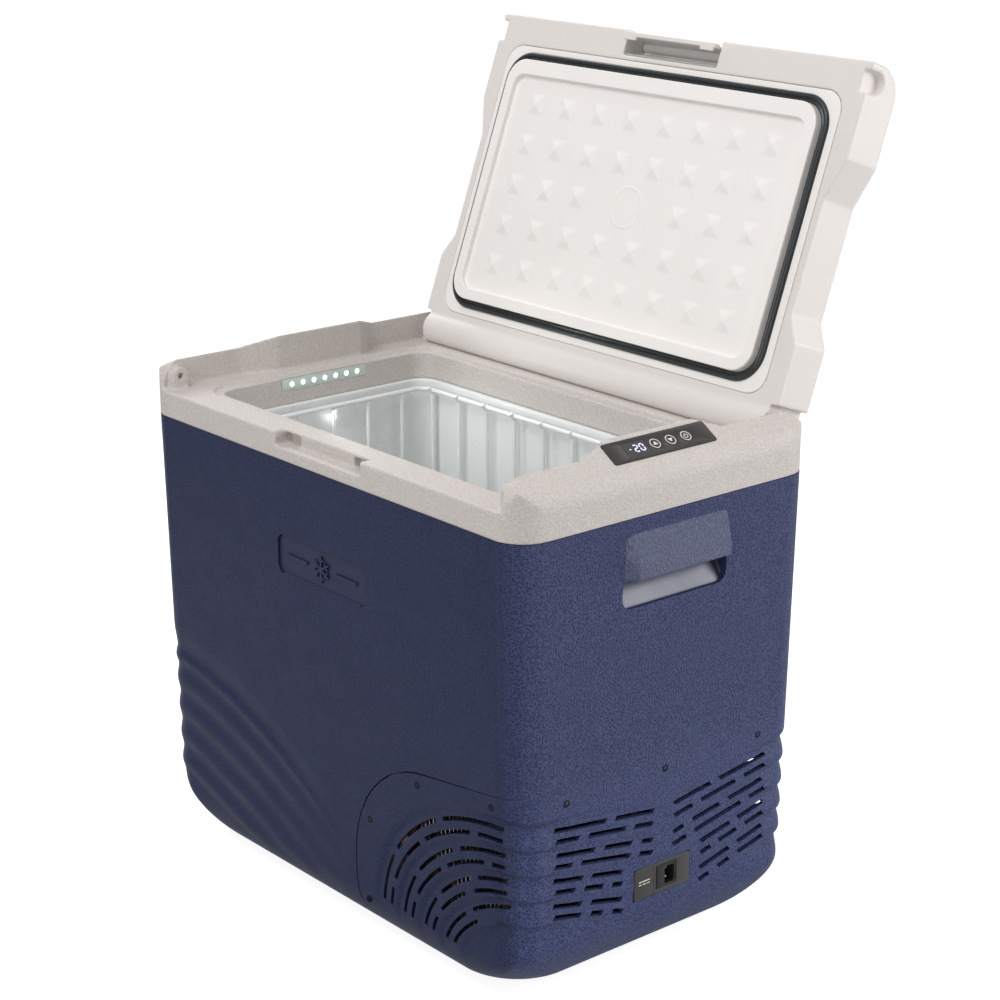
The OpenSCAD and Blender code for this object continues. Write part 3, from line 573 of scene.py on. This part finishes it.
def arc_level(x, z):
    """The row height that a point of the front belongs to, counted along the curved louvre rows."""
    across, up = np.maximum(ARC_X - x, 0.01)[..., None], np.maximum(z - ARC_Z, 0.0)[..., None]
    e = ((across / ARC_A) ** ARC_POWER + (up / ARC_B) ** ARC_POWER) ** (1 / ARC_POWER)
    level = np.full(x.shape, float(row_z(-1))) + (e[..., 0] - 1).clip(0) * 150
    for k in range(len(ROWS) - 1):
        a, b = e[..., k], e[..., k + 1]
        inside = (a <= 1) & (b > 1)
        q = (1 - a) / np.maximum(b - a, 1e-9)
        level = np.where(inside, row_z(ROWS[k]) + (row_z(ROWS[k + 1]) - row_z(ROWS[k])) * q, level)
    last = e[..., -1]
    return np.where(last <= 1, row_z(ROWS[-1]) - (1 - last) * 40, level)


def end_level(u, z):
    """The row height that a point of the end face belongs to, at distance u from its middle."""
    k = np.clip((186 - z) / 12.6, 0, 8)
    far = np.clip(136 - u, 0, 136)
    return z + far * (0.125 + 0.012 * k) + (far / 125) ** 2 * (0.6 + 0.8 * k)


def clapboard(p, count):
    """0 on a crest and -1 in a groove: swells outward over most of a step, then falls back sharply."""
    f = p - np.floor(p)
    swell = ease(-0.15, 0.80, f) * (1 - ease(0.80, 1.0, f)) - 1
    above = -(ease(-0.30, 0.0, p))
    below = -(1 - ease(0.0, 1.3, p - count))
    return np.where(p < 0, above, np.where(p >= count, below, swell))


def wave(p, count):
    """0 on a crest and -1 in a groove, as an even swell; grooves stand at whole numbers."""
    swell = -0.5 - 0.5 * np.cos(2 * np.pi * p)
    return np.where(p < 0, -ease(-0.9, 0.0, p), np.where(p >= count, -(1 - ease(0.0, 1.2, p - count)), swell))


def relief(x, y, z):
    """How far the moulded skin stands behind its smooth outline, in millimetres, never in front of it."""
    u = np.abs(y)
    turn = np.degrees(np.arctan2(np.maximum(x - 257, 0), np.maximum(u - 149, 1e-3)))
    turn = np.where(x < 257, 0.0, turn)
    level = np.where(x < 257, arc_level(x, z), z - 5.5 * (1 - turn / 90))
    level = np.where((x > 257) & (u < 149), end_level(u, z), level)
    size = np.where(x < 257, 2.4 + 2.0 * ease(225, 257, x), 4.4)
    on_end = (0.9 * ease(8, 40, u) + 3.5 * ease(112, 149, u))
    size = np.where((x > 257) & (u < 149), on_end, size)
    size = size * ease(28, 80, z) * ease(60, 100, x)
    out = size * clapboard((190 - level) / PERIOD, 4)

    # ridges at the other end, which run down and fade along the front and rear
    run = np.maximum(x + 250, 0)
    lines = [210.0, 189.0, 158.0, 127.0, 96.0, 68.0]
    lines = [h - (0.10 + 0.047 * i) * run - (0.00112 - 0.00019 * i) * run ** 2 for i, h in enumerate(lines)]
    p = np.full(x.shape, -3.0)
    p = np.where(z > lines[0], (lines[0] - z) / 26.0, p)
    for i in range(5):
        inside = (z <= lines[i]) & (z > lines[i + 1])
        p = np.where(inside, i + (lines[i] - z) / np.maximum(lines[i] - lines[i + 1], 1), p)
    p = np.where(z <= lines[5], 5 + (lines[5] - z) / 30.0, p)
    size = 2.0 * (1 - ease(110, 300, run)) * ease(14, 60, z)
    size = np.where((x < -257) & (u < 149), 2.0 * ease(60, 149, u), size) * (x < 60)
    out = out + size * wave(p, 5)

    # shallow field on the front and rear, ending in a soft upright step near the corner
    field = ease(263, 258.5, np.abs(x)) * ease(190, 330, z) * (u > 149)
    return out - 0.9 * field


def skin_solid(wall):
    """The cabinet wall as one closed solid, open at its top."""
    low = [BASE + END_R * (1 - math.cos(math.radians(a))) for a in np.linspace(0, 62, 24)]
    heights = low + list(np.arange(low[-1] + 1.4, 222, 1.4)) + list(np.linspace(228, SEAM, 34))
    outer = skin_grid(heights, 0.0)
    normal = np.cross(np.roll(outer, -1, 1) - np.roll(outer, 1, 1), np.gradient(outer, axis=0))
    normal /= np.linalg.norm(normal, axis=-1)[..., None] + 1e-12
    outer = outer + normal * relief(outer[..., 0], outer[..., 1], outer[..., 2])[..., None]
    outer[..., 2] = np.where(np.arange(len(heights))[:, None] == len(heights) - 1, SEAM, outer[..., 2])
    inner_heights = [BASE + 7 + (END_R - 7) * (1 - math.cos(math.radians(a))) for a in np.linspace(0, 80, 12)]
    inner = skin_grid(inner_heights + list(np.linspace(100, SEAM, 9)), wall)
    rows, cols = outer.shape[:2]
    points = [tuple(p) for p in outer.reshape(-1, 3)] + [tuple(p) for p in inner.reshape(-1, 3)]
    n = rows * cols
    faces = walls(rows, cols) + [tuple(reversed(f)) for f in walls(inner.shape[0], cols, n)]
    top, inner_top = (rows - 1) * cols, n + (inner.shape[0] - 1) * cols
    faces += [(top + i, top + (i + 1) % cols, inner_top + (i + 1) % cols, inner_top + i) for i in range(cols)]
    faces += [tuple(reversed(range(cols))), tuple(n + i for i in range(cols))]
    return points, faces


def cover_outline(gap):
    """Outline of the louvred cover seen from the front, X against Z, grown by a gap."""
    r = 120.5 + gap
    angles = np.radians(np.linspace(97.6, 180, 28))
    arc = [(165 + r * math.cos(a), 86 + r * math.sin(a)) for a in angles]
    foot = [(165 - r, 64), (46.5 - gap, 50), (50 - gap, 34), (60 - gap, 20), (66 - gap, -5)]
    return [(HALF_L + 8, -5), (HALF_L + 8, 225.4 + gap * 0.05), *arc, *foot]


def end_runs():
    """Louvres of one half of the end face: row, then where each starts and ends from the middle."""
    return {0: ((14.5, 62.5), (74, 136)), 1: ((15, 39), (50, 95.5), (107, 135)),
            2: ((14.5, 28.5), (40.5, 75.5), (87.5, 133)), 3: ((14.5, 32), (43, 104), (115, 136)),
            4: ((52, 90.5), (101, 136)), 5: ((52, 65), (76, 99.5), (111, 135)),
            6: ((52, 90.5), (102, 136)), 7: ((51, 64), (76, 91), (103, 136))}


def arc_runs():
    """Louvres of the front: row, then the angles between which each runs."""
    return {0: ((2, 24), (28, 56), (60, 88)), 1: ((2, 11), (16, 42), (46, 72), (76, 88)),
            2: ((2, 26), (31, 57), (62, 88)), 3: ((2, 14), (20, 45), (50, 75), (80, 88)),
            4: ((3, 28), (34, 60), (66, 88)), 5: ((3, 18), (26, 52), (60, 88)),
            6: ((4, 42), (50, 88)), 7: ((5, 50),)}


def end_row_z(k, u):
    """Height of a louvre row on the end face, at distance u from its middle."""
    return row_z(k) - (136 - u) * (0.125 + 0.012 * k) - ((136 - u) / 125) ** 2 * (0.6 + 0.8 * k)


def louvres():
    """Cutters for every louvre of the cover, none of which touch each other."""
    out = []
    for k, runs in end_runs().items():
        for u0, u1 in runs:
            us = np.linspace(u0, u1, 7)
            lower = [(u, end_row_z(k, u) - 4.6) for u in us]
            upper = [(u - 3, end_row_z(k, u)) for u in us[::-1]]
            shape = prism(lower + upper, "x", 262, HALF_L + 4)
            out += [shape, mirrored(shape, 1)]
    for k, runs in arc_runs().items():
        a, b, power = row_arc(k)
        for t0, t1 in runs:
            ts = np.radians(np.linspace(t0, t1, 15))
            edge = [[(ARC_X - (a - g) * math.cos(t) ** (2 / power),
                      ARC_Z + (b - g) * math.sin(t) ** (2 / power)) for t in ts] for g in (0, 4.4)]
            shape = prism(edge[0] + edge[1][::-1], "y", -HALF_D - 4, -160)
            out += [shape, mirrored(shape, 1)]
    return join(*out)


BADGE_Z, BADGE_DEPTH = 365, 3.0  # middle of the badge, and how far its face stands behind the front
HANDLE_Z = 408
FRONT_SCREWS = ((68, 131), (142, 192), (249, 207.5), (62, 44))
END_SCREWS, END_SCREW_Z = (-122, 0, 122), 207.5


def wall_x(z):
    """Where the drafted end face is at a height."""
    return HALF_L - (SEAM - z) * DRAFT


def wall_y(z):
    """How far the drafted front and rear stand from the middle at a height."""
    return HALF_D - (SEAM - z) * DRAFT


skin, cover = raw(skin_solid(7.0)), raw(skin_solid(5.5))
cut(skin, prism(cover_outline(0.7), "y", -HALF_D - 9, HALF_D + 9))
cut(cover, prism(cover_outline(-0.7), "y", -HALF_D - 9, HALF_D + 9), keep=True)
cut(cover, louvres())
cut(cover, box((HALF_L - 20, -36, 80.5), (HALF_L + 4, 36, 113)))
for side in (-1, 1):
    hole = prism(rounded(-60, 376, 69.5, 446, 11), "x", HALF_L - 40, HALF_L + 4)
    cut(skin, hole if side > 0 else mirrored(hole, 0))
recess = rounded(-69, BADGE_Z - 20, 69, BADGE_Z + 20, 9, 10)
cut(skin, prism(recess, "y", -HALF_D - 4, -wall_y(BADGE_Z) + BADGE_DEPTH + 0.6))
finish_piece(skin, "cabinet_skin", "cabinet", navy_shell, ("outer_shell",), sharp=50)
finish_piece(cover, "louvred_cover", "cabinet", navy_shell, ("vent_cover",), sharp=50)

foam = copy_of("insulation_foam")
inside = skin_grid([BASE + 8 + (END_R - 8) * (1 - math.cos(math.radians(a))) for a in np.linspace(0, 80, 12)]
                   + list(np.linspace(100, 480, 12)), 7.4, 60, 40, 8)
cut(foam, stacked([[tuple(p) for p in row] for row in inside]), keep=True)
finish_piece(foam, "foam_body", "cabinet", foam_finish, ("insulation_foam",))

sheet = copy_of("base_plate")
cut(sheet, prism(rounded(0, -126, 222, 126, 44, 12), "z", 0, 30), keep=True)
finish_piece(sheet, "base_sheet", "cabinet", zinc, ("base_plate",))


# ---------- badge, screws, handles ----------

def flat_on_front(part, z, depth):
    """Moves a part drawn against the plane y = 0, facing -Y, onto the drafted front at a height."""
    return moved(part, Matrix.Translation((0, -wall_y(z) + depth, z)))


def on_badge(part):
    """A part drawn against the plane y = 0, placed against the face of the badge."""
    return flat_on_front(part, BADGE_Z, BADGE_DEPTH)


badge = raw(on_badge(prism(rounded(-68.8, -19.8, 68.8, 19.8, 8.8, 10), "y", 0, 3)))
for i in range(3):
    arm = prism([(-13, -1.3), (13, -1.3), (13.6, 0), (13, 1.3), (-13, 1.3), (-13.6, 0)], "y", -1.9, 1)
    unite(badge, on_badge(moved(arm, spin(60 * i + 30, "Y"))))
for i in range(6):
    for s in (-1, 1):
        twig = prism([(0, -1.0), (4.8, -1.0), (4.8, 1.0), (0, 1.0)], "y", -1.8, 1)
        place = spin(60 * i + 30, "Y") @ Matrix.Translation((7.2, 0, 0)) @ spin(55 * s, "Y")
        unite(badge, on_badge(moved(twig, place)))
for x0, x1 in ((-56, -22), (22, 56)):
    rail = prism(rounded(x0, -1.9, x1, 1.9, 1.8, 5), "y", -1.7, 1)
    unite(badge, on_badge(rail))
bevelled(badge, 0.35, 2, 50)
# The badge takes the navy darkened as painted shade.
finish_piece(badge, "badge", "cabinet", navy_plate_painted_shade, ("badge_plate",), sharp=20)
ledge = prism([(0.15, -19.8), (3.2, -18.6), (3.2, -19.8)], "x", -61.5, 61.5)
finish_piece(raw(flat_on_front(ledge, BADGE_Z, 0)), "badge_ledge", "cabinet", navy_smooth)

SCREW = [(0, -1.0), (3.5, -1.0), (3.7, 0.15), (3.2, 0.55), (2.2, 0.62), (1.9, 0.1), (0, 0.05)]


def screw(turn):
    """A countersunk head with a cross recess, drawn facing +Z."""
    head = raw(turned(SCREW, 24))
    for a in (0, 90):
        blade = moved(box((-1.9, -0.35, -0.4), (1.9, 0.35, 1)), spin(a + turn, "Z"))
        cut(head, blade)
    return head


def screws(name, places, node_name):
    """Heads at (position, direction) pairs, as one piece."""
    meshes = bmesh.new()
    for i, (at, facing) in enumerate(places):
        head = screw(17 * i)
        turn = Vector(facing).to_track_quat("Z", "Y").to_matrix().to_4x4()
        head.data.transform(Matrix.Translation([v * MM for v in at]) @ turn)
        meshes.from_mesh(head.data)
        bpy.data.objects.remove(head)
    mesh = bpy.data.meshes.new(name)
    meshes.to_mesh(mesh)
    meshes.free()
    finish_piece(placed(mesh, name), name, "cabinet", screw_black, (node_name,))


for side, label in ((-1, "front"), (1, "rear")):
    places = [((x, side * (wall_y(z) - 0.1), z), (0, side, 0)) for x, z in FRONT_SCREWS]
    screws(f"screws_{label}", places, f"cover_screws_{label}")
places = [((wall_x(END_SCREW_Z) - 0.1, y, END_SCREW_Z), (1, 0, 0)) for y in END_SCREWS]
screws("screws_end", places, "cover_screws_end")


def handle(name, side, node_name):
    """Pocket with an overhanging visor of a grip, for the +X end; side -1 mirrors it."""
    out = wall_x(HANDLE_Z)
    pocket = raw(prism(rounded(-69.4, 367.6, 69.8, 448.4, 12, 8), "x", out - 37, out - 2.2))
    hollow = [(out + 4, 373.5), (out - 4, 375.5), (out - 31, 421), (out - 31, 445), (out + 4, 445)]
    cut(pocket, prism(hollow, "y", -60.5, 69.2))
    soften(pocket, 1.1, 4, 0.35)
    profile = [(out - 8, 447.5), (out - 0.2, 448), (out + 4.2, 432.5), (out + 8.5, 416.5), (out + 8.5, 404),
               (out + 6, 403), (out - 27, 403), (out - 27, 425), (out - 18, 440)]
    root = out - 6
    stations = []
    for y, size in ((-68.5, 0.0), (-63, 0.12), (-47, 1.0), (65.5, 1.0), (69.2, 0.86), (69.6, 0.0)):
        stations.append([(root + (x - root) * size if x > root else x, y, z) for x, z in profile])
    grip = raw(stacked(stations))
    soften(grip, 0.9, 3, 0.4)
    for part, label, mat in ((pocket, "pocket", navy_smooth), (grip, "grip", navy_grain)):
        if side < 0:
            part.data.transform(Matrix.Scale(-1, 4, (1, 0, 0)))
            part.data.flip_normals()
        finish_piece(part, f"{name}_{label}", "cabinet", mat, (node_name,), sharp=60)


handle("handle_right", 1, "handle_right")
handle("handle_left", -1, "handle_left")


PAD = [(0, 0), (6.2, 0), (7.4, 0.8), (8.0, 2.2), (8.0, 4.0), (0, 4.0)]
PAD_PLACES = ((-180, -97), (180, -97), (-180, 97), (180, 97), (0, 0))
pads = [moved(turned(PAD, 24), Matrix.Translation((x, y, 0))) for x, y in PAD_PLACES]
FEET = tuple(f"foot_{i}" for i in range(1, 6))
finish_piece(raw(join(*pads)), "feet", "cabinet", foot_rubber, FEET)


# ---------- top frame, liner, basket ----------

rim = soften(copy_of("top_frame"), 1.25, 3, 0.45)
finish_piece(rim, "top_rim", "cabinet", beige_grain, ("top_frame",), sharp=0)

tub = soften(copy_of("inner_liner"), 1.7, 4, 0.4)
finish_piece(tub, "liner_tub", "cabinet", liner_white, ("inner_liner",), sharp=0)

# basket: half depth, half length, top and middle along Y, then its two floors, the riser and the wire
BASKET_Y, BASKET_X, BASKET_TOP, BASKET_MID = 120.0, 218.0, 448.0, -2.0
DEEP, RAISED, RISER_X, WIRE = 48.6, 218.6, 78.0, 2.3

wires = []
for i in range(10):
    x = (i - 4.5) * 45
    floor, lean = DEEP if x < RISER_X else RAISED, 5.4
    path = [(x, -BASKET_Y + lean, BASKET_TOP + 3), (x, -BASKET_Y, BASKET_TOP - 4), (x, -BASKET_Y, floor),
            (x, BASKET_Y, floor), (x, BASKET_Y, BASKET_TOP - 4), (x, BASKET_Y - lean, BASKET_TOP + 3)]
    path = bent(path, 4.0, 5)
    wires.append(tube([(a, b + BASKET_MID, c) for a, b, c in path], WIRE, 10))
for j in range(-2, 3):
    y = j * 45 + BASKET_MID
    path = [(-BASKET_X, y, BASKET_TOP - 1), (-BASKET_X, y, DEEP), (RISER_X, y, DEEP), (RISER_X, y, RAISED),
            (BASKET_X, y, RAISED), (BASKET_X, y, BASKET_TOP - 1)]
    wires.append(tube(bent(path, 9.0, 6), WIRE - 0.2, 10))
BASKET_PARTS = ("front", "rear", "left", "right", "floor", "riser", "step")
BASKET_NODES = tuple(f"basket_{part}" for part in BASKET_PARTS)
finish_piece(raw(join(*wires)), "basket_wires", "basket", coated_wire, BASKET_NODES, sharp=60)

edge = rounded(-BASKET_X + 1, -BASKET_Y + 1, BASKET_X - 1, BASKET_Y - 1, 15, 10)
ring = raw(tube([(x, y + BASKET_MID, BASKET_TOP) for x, y in edge], 2.5, 12, closed=True))
finish_piece(ring, "basket_ring", "basket", coated_wire, sharp=60)


# ---------- control panel, lamp, power inlet ----------

plate = raw(on_panel(prism(rounded(-12.4, -62.3, 12.4, 62.3, 1.6, 5), "z", -2.2, 0.45)))
BUTTON_Y = [-5.8 + 19 * i for i in range(3)]
for y in BUTTON_Y:
    cut(plate, on_panel(prism(circle(0, y, 6.75, 40), "z", -3, 3)))
cut(plate, on_panel(prism(rounded(-8.5, -43, 8.5, -15, 1.0, 4), "z", -1.2, 3)))
bevelled(plate, 0.25)
finish_piece(plate, "control_plate", "cabinet", dark_panel, ("control_panel",))

glow_digit, glow_bsdf = shader("digit_glow", (0.62, 0.58, 0.80), 0.4,
                               glow=(0.75, 0.70, 1.0), glow_strength=0.9)
bump(glow_digit, glow_bsdf, noise(glow_digit, 1500.0), 0.00002)
smoked = satin("smoked_window", (0.060, 0.058, 0.062), 0.16, 0.00001, 900.0, coat=0.6)

window = raw(on_panel(prism(rounded(-8.2, -42.7, 8.2, -15.3, 0.8, 4), "z", -1.0, 0.35)))
finish_piece(window, "display_glass", "cabinet", smoked, ("display_window",))

# Which bars each figure shows, then where each bar stands, across and up, and whether it lies flat.
SEGMENTS = {"-": "g", "2": "abged", "0": "abcdef"}
BARS = {"a": (0, 1, True), "b": (1, 0.5, False), "c": (1, -0.5, False), "d": (0, -1, True),
        "e": (-1, -0.5, False), "f": (-1, 0.5, False), "g": (0, 0, True)}
SIGN_LOW, SIGN_TOP = 0.8, 0.98


def digit(sign, y, width, height):
    """Bars of one seven-segment figure; its top points up the slope, towards -X of the panel."""
    out = []
    for key in SEGMENTS[sign]:
        across, rise, flat = BARS[key]
        cy, cx = y + across * width / 2, -rise * height / 2
        long, thin = (width if flat else height / 2) / 2 - 0.3, 0.55
        bar = [(-long, 0), (-long + thin, -thin), (long - thin, -thin),
               (long, 0), (long - thin, thin), (-long + thin, thin)]
        shape = [(cx + b, cy + a) for a, b in bar] if flat else [(cx + a, cy + b) for a, b in bar]
        out.append(prism(shape, "z", 0.35, 0.5))
    return out


figures = digit("-", -35.6, 2.8, 7.4) + digit("2", -28.6, 4.3, 7.6) + digit("0", -21.6, 4.3, 7.6)
finish_piece(raw(on_panel(join(*figures))), "display_figures", "cabinet", glow_digit)


def arrow(s):
    """Triangle that points up the slope for 1 and down it for -1."""
    return prism([(s * -2.5, 0.0), (s * 1.6, -2.7), (s * 1.6, 2.7)], "z", SIGN_LOW, SIGN_TOP)


def power_sign():
    """Open ring with an upright stroke."""
    outer = [(-2.6 * math.cos(a), 2.6 * math.sin(a)) for a in np.radians(np.linspace(35, 325, 30))]
    inner = [(x * 0.72, y * 0.72) for x, y in outer[::-1]]
    stroke = [(-3.1, -0.35), (-0.4, -0.35), (-0.4, 0.35), (-3.1, 0.35)]
    return join(*(prism(shape, "z", SIGN_LOW, SIGN_TOP) for shape in (outer + inner, stroke)))


CAP = [(0, -3.6), (6.3, -3.6), (6.45, 0.35), (6.1, 0.72), (5.0, 0.8), (0, 0.8)]
HALO = [(4.75, 0.7), (5.55, 0.7), (5.55, 0.96), (4.75, 0.96)]
for name, y, icon in zip(("up", "down", "power"), BUTTON_Y, (arrow(1), arrow(-1), power_sign())):
    body, place = f"{name}_button", Matrix.Translation((0, y, 0))
    cap = raw(on_panel(moved(turned(CAP, 48), place)))
    finish_piece(cap, f"{name}_cap", body, dark_panel, (f"button_{name}",), sharp=50)
    halo = band(lambda w: circle(0, 0, w, 48), HALO)
    sign = raw(on_panel(moved(join(halo, icon), place)))
    finish_piece(sign, f"{name}_sign", body, sign_white)

lens_glass = satin("lens_frost", (0.62, 0.72, 0.67), 0.3, 0.00005, 1300.0, spread=0.05)
lamp_glow, lamp_bsdf = shader("lamp_glow", (0.9, 1.0, 0.95), 0.3, glow=(0.85, 1.0, 0.92), glow_strength=2.2)
bump(lamp_glow, lamp_bsdf, noise(lamp_glow, 900.0), 0.00003)
lens = raw(prism(rounded(-57.6, 471, 49.6, 482.6, 1.5, 4), "x", -231, -229.5))
bevelled(lens, 0.3)
finish_piece(lens, "lamp_lens", "cabinet", lens_glass, ("led_lens",))
spots = [prism(circle(-46 + 14 * i, 476.8, 2.5, 20), "x", -229.6, -229.1) for i in range(7)]
finish_piece(raw(join(*spots)), "lamp_spots", "cabinet", lamp_glow)

INLET_Z = 97
inlet_x = wall_x(INLET_Z)
inlet = raw(prism(rounded(-35.5, 81, 35.5, 112.5, 2.6, 5), "x", inlet_x - 4, inlet_x + 0.3))
cut(inlet, box((inlet_x - 6, -7.6, 85.2), (inlet_x + 2, 18.6, 108.8)))
bevelled(inlet, 0.4)
finish_piece(inlet, "inlet_plate", "cabinet", dark_panel, ("dc_panel",))
socket = raw(prism(rounded(-7.4, 85.4, 18.4, 108.6, 1.6, 4), "x", inlet_x - 16, inlet_x + 0.9))
mouth = [(4.0, 87.5), (14.6, 87.5), (15.8, 89), (15.8, 103),
         (13.6, 105.6), (5.6, 105.6), (3.4, 103), (3.4, 88.4)]
cut(socket, prism(mouth, "x", inlet_x - 13, inlet_x + 3))
cut(socket, prism(rounded(0.8, 86.4, 17.6, 107.6, 1.2, 4), "x", inlet_x + 0.2, inlet_x + 3))
bevelled(socket, 0.3)
finish_piece(socket, "inlet_socket", "cabinet", black_plastic, ("dc_socket",))
pin = moved(turned([(0, 0), (1.5, 0), (1.5, 7.5), (1.0, 8.3), (0, 8.5)], 20), spin(90, "Y"))
pins = [moved(pin, Matrix.Translation((inlet_x - 12.8, 9.2, z))) for z in (101.5, 92)]
finish_piece(raw(join(*pins)), "inlet_pins", "cabinet", brass, ("dc_pin_1", "dc_pin_2"))
# direct-current sign: a long stroke over three short ones
marks = [box((inlet_x + 0.2, -30, 98.6), (inlet_x + 0.42, -16, 99.5))]
for y in (-30, -24.8, -19.6):
    marks.append(box((inlet_x + 0.2, y, 95.6), (inlet_x + 0.42, y + 3.6, 96.5)))
finish_piece(raw(join(*marks)), "inlet_sign", "cabinet", sign_white)
rib = box((inlet_x + 0.1, -10.6, 81.6), (inlet_x + 0.55, -9.8, 112))
finish_piece(raw(rib), "inlet_rib", "cabinet", dark_panel)


# ---------- lid ----------

lid = soften(copy_of("lid_shell"), 1.3, 3, 0.45)
finish_piece(lid, "lid_cover", "lid", lid_white, ("lid_shell",), sharp=0)

inner = soften(copy_of("lid_inner_panel"), 0.85, 1, 0.4)
finish_piece(inner, "lid_liner", "lid", panel_white, ("lid_inner_panel",), sharp=0)

SEAL = [(0.4, 0), (0.4, -1.2), (1.4, -1.9), (2.6, -1.5), (3.4, -0.9), (4.4, -0.9),
        (5.0, -2.9), (6.2, -3.2), (7.6, -3.1), (8.6, -2.4), (9.2, -1.0), (9.4, 0)]
seal = band(lambda w: rounded(-222 - w, -135.5 - w, 222 + w, 126 + w, 24 + w, 12),
            [(w, FLANGE + z) for w, z in SEAL])
finish_piece(raw(lid_part(seal)), "lid_seal", "lid", gasket_rubber,
             ("lid_gasket",), sharp=55)

backplate = raw(lid_part(box((-65, -158, FLANGE + 1), (65, -156.2, 520))))
bevelled(backplate, 0.3)
finish_piece(backplate, "latch_back", "lid", grey_plastic, ("latch_backplate",))

grip = soften(copy_of("latch_handle"), 0.6, 2, 0.6)
finish_piece(grip, "latch_grip", "latch", lid_white, ("latch_handle",), sharp=0)


# ---------- floor, light and camera ----------

def seen_level(tree, others, seen):
    """One brightness for what the camera sees directly, another for the light given to the object."""
    rays, level = tree.nodes.new("ShaderNodeLightPath"), tree.nodes.new("ShaderNodeMapRange")
    level.inputs["To Min"].default_value, level.inputs["To Max"].default_value = others, seen
    tree.links.new(rays.outputs["Is Camera Ray"], level.inputs["Value"])
    return level.outputs[0]


def stage_floor():
    """A round white floor under the object."""
    mesh = bpy.data.meshes.new("floor")
    mesh.from_pydata([(x, y, 0) for x, y in circle(0, 0, 1.7, 64)], [], [tuple(range(64))])
    floor = placed(mesh, "floor")
    mat, bsdf = shader("floor_white", (0.5, 0.5, 0.5), 0.9, glow=(1, 1, 1))
    bump(mat, bsdf, noise(mat, 300.0), 0.00002)
    link(mat, seen_level(mat.node_tree, 0.12, 0.86), bsdf.inputs["Emission Strength"])
    floor.data.materials.append(mat)


def area_light(name, at, towards, size, power, colour=(1, 1, 1)):
    """A rectangular lamp that faces a point."""
    data = bpy.data.lights.new(name, "AREA")
    data.shape, data.energy, data.color = "RECTANGLE", power, colour
    data.size, data.size_y = size
    lamp = placed(data, name)
    lamp.location = at
    lamp.rotation_euler = (Vector(towards) - Vector(at)).to_track_quat("-Z", "Y").to_euler()


stage_floor()
area_light("sky", (0.1, -1.4, 2.6), (0, 0, 0.5), (1.5, 1.3), 28)
area_light("top", (1.2, 0.3, 3.0), (0.2, 0, 0.3), (1.0, 1.0), 4)
area_light("right", (1.9, 1.5, 0.95), (0.2, 0, 0.35), (1.6, 1.5), 34)
area_light("front", (0.6, -2.9, 1.3), (0, 0, 0.5), (1.4, 1.2), 20)
area_light("left", (-1.9, 0.6, 2.0), (0, 0, 0.4), (1.2, 1.2), 20)
area_light("inside", (-0.2, 0.0, 0.478), (0.05, 0, 0.36), (0.02, 0.1), 0.1, (0.94, 1, 0.97))

world = bpy.data.worlds.new("studio")
world.use_nodes = True
shade = world.node_tree.nodes["Background"]
world.node_tree.links.new(seen_level(world.node_tree, 0.32, 1.05), shade.inputs["Strength"])
shade.inputs["Color"].default_value = (1, 1, 1, 1)
bpy.context.scene.world = world
bpy.context.scene.view_settings.view_transform = "Standard"

camera = placed(bpy.data.cameras.new("camera"), "camera")
camera.data.lens, camera.data.sensor_width = 86.99, 36
camera.data.dof.use_dof = False
right, up, back = (0.6446, 0.7645, 0.0), (-0.2319, 0.1956, 0.9528), (0.7285, -0.6142, 0.3034)
camera.rotation_mode = "QUATERNION"
camera.rotation_quaternion = Matrix([right, up, back]).transposed().to_quaternion()
camera.location = (1.7560, -1.4389, 1.1203)
bpy.context.scene.camera = camera
